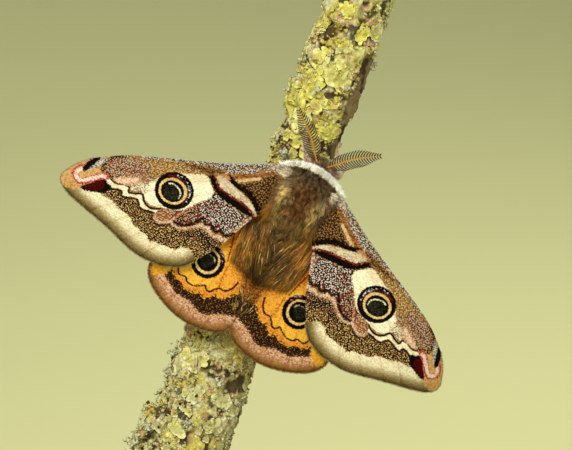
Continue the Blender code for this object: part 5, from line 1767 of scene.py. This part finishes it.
@dataclass
class Legs:
    """The six legs, smoothed from their solids, under short hair that lies towards the foot."""

    knees: dict[str, tuple[Triple, Triple]] = field(default_factory=lambda: {
        "fore_left": ((-1.3, 2.4, 2.4), (-2.2, 5.2, 1.6)), "fore_right": ((1.3, 2.4, 2.4), (2.9, 5.6, 2.2)),
        "mid_left": ((-1.9, 0.2, 2.2), (-4.8, -0.4, 1.4)), "mid_right": ((1.9, 0.2, 2.2), (4.8, -0.4, 1.4)),
        "hind_left": ((-1.7, -2.2, 2.2), (-4.6, -4.8, 1.4)), "hind_right": ((1.7, -2.2, 2.2), (4.6, -4.8, 1.4))})
    count: int = 2000
    growth: Growth = Growth(0.75, 0.05, 0.35, clump=0.4, clump_size=0.4, swerve=0.15, sink=0.08)
    tones: tuple[Colour, Colour] = (tone(255, 230, 208), tone(238, 208, 168))

    def dress(self) -> None:
        """Builds the legs in place of the solids."""
        self.hair = HairFinish("leg_hair", 0.75, (0.6, 1.25), 1.05).make()
        self.skin = SkinFinish("leg_skin", 0.7).make()
        for seed, (name, (root, knee)) in enumerate(self.knees.items(), 101):
            self.one(f"leg_{name}", np.array(root), np.array(knee), seed)

    def one(self, node: str, root: Array, knee: Array, seed: int) -> None:
        """Builds one leg.

        Args:
            node: Its solid.
            root: Where it leaves the body.
            knee: Where it bends.
            seed: The chance's seed.
        """
        skin = linked(f"{node}_skin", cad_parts[node].data.copy())
        skin.modifiers.new("round", "SUBSURF").levels = 2
        settled(skin)
        points, faces = mesh_of(skin)
        foot = points[np.argmax(np.linalg.norm(points - root, axis=1) + np.linalg.norm(points - knee, axis=1))]
        carry(skin, "coat_tone", self.shade(self.down(points, root, foot)))
        carry_map(skin, SKIN_MAP.places(points), SKIN_MAP.period)
        dress(skin, self.skin, (node,))
        roots = Roots.on((points, faces), self.count, seed)
        first = np.linalg.norm(roots.spots - root, axis=1) < np.linalg.norm(knee - root)
        ways = np.where(first[:, None], knee - root, foot - knee)
        down = self.down(roots.spots, root, foot)
        paths = self.growth.paths(roots, ways, seed, np.clip(1.5 - 1.1 * down, 0.35, 1.3))
        hairs = Hairs(f"{node}_coat", roots.spots, paths, self.growth.width, self.shade(down), seed)
        hairs.dress(self.hair, "leg_fur")

    @staticmethod
    def down(spots: Array, root: Array, foot: Array) -> Array:
        """How far down the leg places lie, about from 0 to 1."""
        return np.linalg.norm(spots - root, axis=1) / np.linalg.norm(foot - root)

    def shade(self, down: Array) -> Array:
        """Pinkish cream towards the body, brown towards the foot."""
        share = smooth_step(down)[:, None]
        return np.array(self.tones[0]) * (1 - share) + np.array(self.tones[1]) * share


@dataclass
class Bark:
    """The branch: rough bark, closed from the solid and displaced. Sizes are in millimetres."""

    grain: float = 0.3
    rough: tuple[tuple[float, float], ...] = ((0.35, 0.35), (0.9, 0.28), (2.2, 0.16))

    def dress(self) -> BVHTree:
        """Builds the bark in place of the solid.

        Returns:
            The tree that finds places on it, in metres.
        """
        bark = linked("branch_bark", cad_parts["perch_branch"].data.copy())
        remeshed(bark, self.grain * MM, 2)
        corners = bark.data.vertices
        points, normals = (read(corners, key, 3, np.float32).astype(float) for key in ("co", "normal"))
        height = sum(depth * (cloud(points / MM, grain, grain * 7) - 0.35) for grain, depth in self.rough)
        corners.foreach_set("co", (points + normals * (height * MM)[:, None]).astype(np.float32).ravel())
        bark.data.update()
        carry(bark, "bark_height", height)
        carry(bark, "bare", self.bare(points / MM))
        dress(bark, self.look(), ("perch_branch",))
        return BVHTree.FromObject(bark, bpy.context.evaluated_depsgraph_get())

    @staticmethod
    def bare(points: Array) -> Array:
        """Tells where the branch's right side above the moth has shed its lichen.

        Args:
            points: Places of the model in millimetres.

        Returns:
            1 where it is bare and 0 elsewhere.
        """
        x, z = points[..., 0], points[..., 2]
        aside = x - np.interp(z, (62.0, 73.4, 82.0), (8.0, 12.1, 15.2))
        return smooth_step((aside - 3.5) / 0.9) * smooth_step((z - 61.0) / 2.0) * smooth_step((79.0 - z) / 2.0)

    @staticmethod
    def look() -> Look:
        """Makes brown bark under crusts of yellow, grey green and pinkish lichen, with painted shade in its hollows.

        Returns:
            The material.
        """
        kit = NodeKit("lichened_bark")
        place = kit.place()
        fine = kit.noise(place, 1900.0, 5.0, 0.72)
        wood = kit.mix(kit.noise(place, 700.0, 5.0, 0.7), tone(58, 42, 30), tone(150, 122, 92))
        yellow, grey, pink = (kit.mix(kit.span(fine, 0.32, 0.64), dark, light) for dark, light in (
            (tone(146, 128, 46), tone(228, 214, 112)), (tone(138, 128, 76), tone(228, 226, 178)),
            (tone(150, 104, 72), tone(216, 182, 142))))
        crust = kit.mix(kit.span(kit.noise(place, 210.0, 3.0), 0.44, 0.56), yellow, grey)
        crust = kit.mix(kit.span(kit.noise(place, 330.0, 3.0, 0.6), 0.57, 0.62), crust, pink)
        shed = kit.span(kit.math("ADD", kit.attribute("bare"), fine), 0.85, 1.05, (1.0, 0.1))
        covered = kit.math("MULTIPLY", kit.span(kit.noise(place, 360.0, 5.0, 0.7), 0.32, 0.4), shed)
        colour = kit.mix(covered, wood, crust)
        colour = kit.mix(kit.span(kit.noise(place, 240.0, 2.0), 0.68, 0.72), colour, tone(112, 58, 46))
        colour = kit.mix(kit.span(kit.noise(place, 800.0, 2.0), 0.68, 0.71), colour, tone(226, 228, 206))
        # Painted shade in the bark's hollows.
        hollow_shade = kit.span(kit.attribute("bark_height"), -0.42, -0.22, (0.92, 0.0), smooth=True)
        colour = kit.mix(hollow_shade, colour, tone(54, 42, 20))
        relief = kit.bump(fine, 0.0002, 0.9, kit.bump(kit.noise(place, 900.0, 4.0, 0.65), 0.0004, 0.9))
        return kit.finish(colour, 0.88, relief, Specular_IOR_Level=0.2)


@dataclass
class Lichen:
    """Leafy lichen plates, small cups, lumps and pale tufts over the bark. Sizes are in millimetres."""

    tree: BVHTree
    plates: int = 470
    cups: int = 90
    lumps: int = 6800
    plate_sides: int = 34
    plate_rings: Points = ((0.3, 0.42), (0.55, 0.5), (0.75, 0.42), (0.9, 0.5), (1.0, 0.95))
    cup_sides: int = 14
    cup_rings: Points = (
        (0.55, -0.3, 1.0), (0.7, 0.25, 1.0), (1.0, 0.55, 1.0), (0.92, 0.62, 0.8), (0.8, 0.5, 0.0), (0.4, 0.44, 0.0))
    line: Points = (
        (-17.6, -37.0), (-14.6, -31.5), (-12.9, -27.6), (-11.7, -23.5), (-9.9, -18.5), (-4.0, -4.5),
        (3.4, 12.4), (6.1, 20.4), (8.4, 26.3), (12.1, 36.0))
    shift: Triple = (6.0, 0.0, 53.0)
    reach: float = 12.0
    sunny_share: float = 0.52
    high_share: float = 0.88
    shed: float = 0.4
    tufts: Points = (
        (8.9, 77.0, 0.9), (6.7, 72.7, 0.7), (6.1, 63.0, 1.2), (5.0, 65.6, 0.8), (10.6, 72.6, 0.6), (14.9, 73.0, 0.6),
        (18.6, 76.6, 0.7), (-17.6, 21.7, 2.1), (-9.8, 34.3, 1.1), (-11.2, 31.4, 0.9), (-12.2, 28.6, 0.8),
        (-13.7, 23.6, 1.0), (-4.0, 29.8, 1.2), (-1.5, 27.5, 0.8), (-8.0, 24.0, 1.0))

    def dress(self) -> None:
        """Strews the lichens over the branch, and gathers each kind into a piece."""
        self.rng = np.random.default_rng(201)
        self.curve = Spline([(x, 0.0, z) for x, z in self.line])
        for name, adds, look in (
                ("plates", [self.plate] * self.plates, self.plate_look),
                ("cups", [self.cup] * self.cups, self.cup_look),
                ("lumps", [self.lump] * self.lumps + [partial(self.tuft, *tuft) for tuft in self.tufts],
                 self.lump_look)):
            self.shapes: list[tuple] = []
            for add in adds:
                add()
            points, faces = joined([shape[:2] for shape in self.shapes])
            made = mesh_object(f"lichen_{name}", points * MM, faces)
            for number, key in enumerate(("rim", "pick"), 2):
                parts = [np.broadcast_to(shape[number], len(shape[0])) for shape in self.shapes]
                carry(made, key, np.concatenate(parts))
            dress(made, look())

    def spot(self, share: float, turn: float) -> Shape:
        """Finds a place on the bark.

        Args:
            share: How far up the branch it is.
            turn: How far round it, from the front.

        Returns:
            The place and the way out there.
        """
        side = unit(np.cross(self.curve.tangent(share), (0.0, 1.0, 0.0)))
        out = side * math.sin(turn) + np.array((0.0, -1.0, 0.0)) * math.cos(turn)
        return self.onto(self.curve.at(share) + np.array(self.shift) + out * self.reach, -out)

    def onto(self, start: Array, way: Array) -> Shape:
        """Finds where a ray meets the bark.

        Args:
            start: Where the ray starts.
            way: Its direction.

        Returns:
            The place and the bark's normal there.
        """
        hit, normal, _, _ = self.tree.ray_cast(Vector(start) * MM, Vector(way), 2 * self.reach * MM)
        if hit is None:
            hit, normal, _, _ = self.tree.find_nearest(Vector(start + way * self.reach) * MM)
        return np.array(hit) / MM, np.array(normal)

    def rounds(self, normal: Array, sides: int) -> Shape:
        """Lays the ways out from a middle across a normal, from a chance start.

        Args:
            normal: The normal.
            sides: How many ways.

        Returns:
            The ways' angles, and the ways.
        """
        first = unit(np.cross(normal, self.rng.normal(size=3)))
        turns = np.arange(sides) * 2 * math.pi / sides
        return turns, first * np.cos(turns)[:, None] + np.cross(normal, first) * np.sin(turns)[:, None]

    def kind(self, share: float) -> float:
        """Which lichen grows there, from 0, grey green below the moth, to 1, yellow above it."""
        sunny = (0.38, 1.0) if share > self.sunny_share else (0.0, 0.6)
        return self.rng.uniform(*((0.15, 0.95) if share > self.high_share else sunny))

    def plate(self) -> None:
        """Adds one lobed plate with a raised, curled rim."""
        share, turn = self.rng.uniform(0.02, 0.985), self.rng.uniform(0, 2 * math.pi)
        leafy = self.sunny_share < share < self.high_share
        size = (0.6 + 1.8 * self.rng.random() ** 1.8) * (1.0 if leafy else 0.66)
        centre, normal = self.spot(share, turn)
        if Bark.bare(centre) > self.shed:
            return
        turns, ways = self.rounds(normal, self.plate_sides)
        lobes, phase = self.rng.integers(5, 9), self.rng.uniform(0, 6)
        outline = 0.66 + 0.34 * np.abs(np.sin(lobes * turns / 2 + phase)) ** 0.6
        outline += 0.14 * np.sin(2 * turns + phase * 3) + 0.1 * np.sin(3 * turns + phase * 2)
        height = 0.16 + 0.2 * size * self.rng.uniform(0.35, 0.8)
        tilt = self.rng.uniform(0, 2 * math.pi)
        top = []
        for far, lift in self.plate_rings:
            curls = 1.0 + 0.55 * np.cos(turns - tilt) * far + 0.25 * np.sin(3 * turns + phase)
            for way, curl in zip(ways * (size * outline * far)[:, None], np.maximum(curls, 0.15)):
                hit, out = self.onto(centre + way + normal * 1.5, -normal)
                top.append(hit + (out + normal) * 0.5 * height * lift * curl)
        rim = np.array(top[-self.plate_sides:])
        under = rim - normal * 0.16 - (rim - centre) * 0.12
        points = np.vstack((top, under, centre + normal * height * 0.45, centre - normal * 0.4))
        levels = np.append(np.repeat([far for far, _ in self.plate_rings] + [0.9], self.plate_sides), (0.0, 0.0))
        faces = ring_faces(len(self.plate_rings) + 1, self.plate_sides)
        self.shapes.append((points, faces, levels, self.kind(share)))

    def cup(self) -> None:
        """Adds one small cup with a raised rim round its disc."""
        centre, normal = self.spot(self.rng.uniform(0.04, 0.97), self.rng.uniform(0, 2 * math.pi))
        size = self.rng.uniform(0.16, 0.34)
        _, ways = self.rounds(normal, self.cup_sides)
        rings = [centre + ways * reach * size + normal * (0.25 + lift * size) for reach, lift, _ in self.cup_rings]
        points = np.vstack((*rings, centre - normal * 0.2, centre + normal * (0.25 + 0.42 * size)))
        rim = np.append(np.repeat([edge for *_, edge in self.cup_rings], self.cup_sides), (1.0, 0.0))
        self.shapes.append((points, ring_faces(len(rings), self.cup_sides), rim, self.rng.random()))

    def lump(self) -> None:
        """Adds one small knobbly lump, in loose groups and mostly on the lower length."""
        share, turn = self.rng.random() ** 1.3 * 0.96 + 0.02, self.rng.uniform(0, 2 * math.pi)
        if noise.noise(Vector((share * 26, math.cos(turn) * 2, math.sin(turn) * 2))) < -0.08:
            return
        centre, normal = self.spot(share, turn)
        if Bark.bare(centre) < self.shed:
            size, rim = self.rng.uniform(0.12, 0.34), self.rng.random()
            self.knob(centre + normal * size * 0.45, size, rim, self.kind(share))

    def knob(self, centre: Array, size: float, rim: float, pick: float) -> None:
        """Adds one uneven knob.

        Args:
            centre: Its middle.
            size: Its usual radius.
            rim: What its finish reads as its rim.
            pick: What its finish reads as its kind.
        """
        points, faces = egg((0.0, 0.0, 0.0), size * self.rng.uniform(0.65, 1.5, 3), sides=5, rings=3)
        first = unit(self.rng.normal(size=3))
        second = unit(np.cross(first, self.rng.normal(size=3)))
        uneven = 1 + 0.22 * self.rng.normal(size=(len(points), 1)).clip(-1.5, 1.5)
        points = (points * uneven) @ np.array((first, second, np.cross(first, second))) + centre
        self.shapes.append((points, faces, rim, pick))

    def tuft(self, x: float, z: float, size: float) -> None:
        """Adds a loose bunch of pale curls that stands off the bark's front.

        Args:
            x: How far to the right it is.
            z: How far up.
            size: Its radius.
        """
        base, normal = self.onto(np.array((x, -self.reach, z)), np.array((0.0, 1.0, 0.0)))
        pick = self.rng.uniform(0.0, 0.25)
        for _ in range(int(30 * size)):
            spread, knob = self.rng.normal(size=3) * size * 0.42, self.rng.uniform(0.16, 0.34)
            lift = self.rng.uniform(0.0, 0.75) * size * np.exp(-np.sum(spread**2) / size**2) + knob * 0.45
            self.knob(base + spread + normal * lift, knob, 0.76, pick)

    @staticmethod
    def plate_look() -> Look:
        """Makes yellow plates with bright rims and grey green middles, down to pale grey green ones.

        Returns:
            The material.
        """
        kit = NodeKit("lichen_plate")
        place, kind = kit.place(), kit.span(kit.attribute("pick"), 0.3, 0.7)
        fine = kit.noise(place, 1500.0, 4.0, 0.65)
        edge = kit.math("MULTIPLY_ADD", kit.math("SUBTRACT", fine, 0.5), 0.5, kit.attribute("rim"))
        middle = kit.mix(kind, tone(202, 200, 146), tone(212, 206, 104))
        outer = kit.mix(kind, tone(240, 240, 198), tone(248, 243, 138))
        colour = kit.mix(kit.span(edge, 0.35, 1.0, smooth=True), middle, outer)
        pinkish = kit.span(kit.noise(place, 420.0, 2.0), 0.56, 0.68, (0.0, 0.55))
        colour = kit.mix(pinkish, colour, tone(196, 166, 130))
        red = kit.span(kit.noise(place, 300.0, 2.0), 0.66, 0.74, (0.0, 0.75))
        colour = kit.mix(red, colour, tone(150, 92, 66))
        # Painted shade: darker where the fine bump lies low.
        shade = kit.mix(kit.span(fine, 0.3, 0.7), tone(176, 164, 112), tone(255, 255, 255))
        colour = kit.mix(0.8, colour, shade, "MULTIPLY")
        return kit.finish(colour, 0.85, kit.bump(fine, 0.00016, 0.8), Specular_IOR_Level=0.2)

    @staticmethod
    def lump_look() -> Look:
        """Makes lumps from grey green through cream to yellow, some of them pinkish or brown.

        Returns:
            The material.
        """
        kit = NodeKit("lichen_lump")
        fine = kit.noise(kit.place(), 2600.0, 4.0, 0.7)
        colour = kit.mix(kit.span(kit.attribute("pick"), 0.15, 0.8), tone(224, 222, 170), tone(230, 216, 106))
        for low, high, other in (
                (0.5, 0.7, tone(232, 234, 196)), (0.8, 0.82, tone(204, 160, 116)), (0.94, 0.945, tone(94, 64, 36))):
            colour = kit.mix(kit.span(kit.attribute("rim"), low, high), colour, other)
        # Painted shade: darker where the fine bump lies low.
        shade = kit.mix(kit.span(fine, 0.3, 0.7), tone(150, 134, 80), tone(255, 255, 255))
        colour = kit.mix(0.9, colour, shade, "MULTIPLY")
        return kit.finish(colour, 0.88, kit.bump(fine, 0.00012), Specular_IOR_Level=0.2)

    @staticmethod
    def cup_look() -> Look:
        """Makes yellow orange discs with paler rims.

        Returns:
            The material.
        """
        kit = NodeKit("lichen_cup")
        fine = kit.noise(kit.place(), 2500.0, 3.0)
        disc = kit.mix(fine, tone(176, 120, 44), tone(222, 172, 76))
        rim = kit.mix(fine, tone(186, 174, 108), tone(226, 218, 156))
        colour = kit.mix(kit.span(kit.attribute("rim"), 0.2, 0.7), disc, rim)
        return kit.finish(colour, 0.75, kit.bump(fine, 0.00008), Specular_IOR_Level=0.3)


@dataclass
class Stand:
    """The finishes of the plain display stand, whose solids stay as they are."""

    wood_tones: tuple[Colour, Colour, Colour] = (tone(74, 44, 28), tone(128, 82, 52), tone(46, 28, 18))
    brass: tuple[Colour, Colour] = (tone(178, 138, 74), tone(214, 176, 104))

    def dress(self) -> None:
        """Finishes the base and the rod."""
        dark, light, deep = self.wood_tones
        kit = NodeKit("base_walnut")
        run = kit.mapped(kit.place(), (0.12, 1.0, 1.0))
        wave = kit.node("TexWave", {"Vector": run, "Scale": 130.0, "Distortion": 9.0, "Detail": 3.0}, "Fac",
                        wave_type="BANDS", bands_direction="Y")
        grain = kit.math("MULTIPLY_ADD", kit.noise(run, 140.0, 5.0, 0.6), 0.5, kit.math("MULTIPLY", wave, 0.5))
        colour = kit.mix(kit.span(grain, 0.2, 0.8), dark, light)
        colour = kit.mix(kit.span(kit.noise(run, 1500.0, 2.0), 0.60, 0.68), colour, deep)
        wood = kit.finish(colour, kit.span(grain, 0.0, 1.0, (0.32, 0.45)), kit.bump(grain, 0.00006))
        painted(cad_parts["stand_base"], wood)
        kit = NodeKit("rod_satin_brass")
        lines = kit.noise(kit.mapped(kit.place(), (1.0, 1.0, 0.04)), 4000.0, 3.0)
        rough = kit.span(lines, 0.3, 0.7, (0.26, 0.4))
        brass = kit.finish(kit.mix(lines, *self.brass), rough, kit.bump(lines, 0.00002), Metallic=1.0)
        painted(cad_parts["stand_rod"], brass)


@dataclass
class Studio:
    """The floor, the backdrop, the lamps and the camera. Sizes are in millimetres."""

    eye: Triple = (6.0, -351.8, 53.0)
    lens: float = 150.0
    sensor: float = 36.0
    aim: Triple = (6.0, -8.0, 50.0)
    floor_near: float = -900.0
    floor_far: float = 150.0
    floor_half_width: float = 1100.0
    sweep: float = 900.0
    wall: float = 1500.0
    ground: Colour = tone(217, 216, 157)
    air: Colour = (0.95, 1.0, 0.93)
    air_strength: float = 0.31

    def dress(self) -> None:
        """Sets up the studio, with a key lamp from the upper left, a fill from the right and a low one behind."""
        self.backdrop()
        self.lamp("key", (-200.0, -520.0, 420.0), 300.0, 3.95, (1.0, 0.97, 0.9))
        self.lamp("fill", (420.0, -330.0, 180.0), 420.0, 0.85, (0.93, 0.97, 1.0))
        self.lamp("rim", (120.0, 260.0, 420.0), 300.0, 1.0, (1.0, 0.98, 0.92))
        world = bpy.data.worlds.new("studio_air")
        world.use_nodes = True
        sky = world.node_tree.nodes["Background"].inputs
        sky["Color"].default_value = (*self.air, 1.0)
        sky["Strength"].default_value = self.air_strength
        bpy.context.scene.world = world
        self.camera()

    def backdrop(self) -> None:
        """A pale floor that sweeps up into the wall behind."""
        turns = np.linspace(0.0, math.pi / 2, 24)
        line = [(self.floor_near, 0.0), (0.0, 0.0)]
        line += [(self.floor_far + self.sweep * math.sin(t), self.sweep * (1 - math.cos(t))) for t in turns]
        profile = np.array((*line, (self.floor_far + self.sweep, self.wall)))
        half, rows, k = self.floor_half_width, len(profile), np.arange(len(profile) - 1)
        points = np.vstack([np.column_stack((np.full(rows, x), profile)) for x in (-half, half)])
        stage = mesh_object("studio_floor", points * MM, np.column_stack((k, k + rows, k + rows + 1, k + 1)))
        kit = NodeKit("studio_paper")
        shaded = tuple(value * 0.96 for value in self.ground)
        painted(stage, kit.finish(kit.mix(kit.noise(kit.place(), 6.0, 2.0), self.ground, shaded), 0.9))

    def lamp(self, name: str, spot: Triple, size: float, power: float, colour: Colour) -> None:
        """Hangs a soft round lamp that faces the moth.

        Args:
            name: Its name.
            spot: Its place.
            size: Its width.
            power: Its power in watts.
            colour: Its colour.
        """
        lamp = bpy.data.lights.new(name, "AREA")
        lamp.shape, lamp.size, lamp.energy, lamp.color = "DISK", size * MM, power, colour
        made = linked(name, lamp)
        made.location = Vector(spot) * MM
        made.rotation_euler = (Vector(self.aim) - Vector(spot)).to_track_quat("-Z", "Y").to_euler()

    def camera(self) -> None:
        """Sets the camera at the photograph's angle and framing."""
        lens = bpy.data.cameras.new("camera")
        lens.lens, lens.sensor_width, lens.clip_start, lens.clip_end = self.lens, self.sensor, 0.01, 10.0
        made = linked("camera", lens)
        made.location = Vector(self.eye) * MM
        made.rotation_euler = (math.pi / 2, 0.0, 0.0)
        bpy.context.scene.camera = made
        bpy.context.scene.view_settings.view_transform = "Standard"


def main() -> None:
    """Builds and dresses every piece in order."""
    logging.basicConfig(level=logging.INFO, format="%(name)s: %(message)s", stream=sys.stdout)
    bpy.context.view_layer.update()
    for assembly in (Studio(), Wings(), Body(), Collar(), WingHair(), Fringes(), Eyes(), Antennae(), Legs()):
        assembly.dress()
    Lichen(Bark().dress()).dress()
    Stand().dress()


if __name__ == "__main__":
    main()
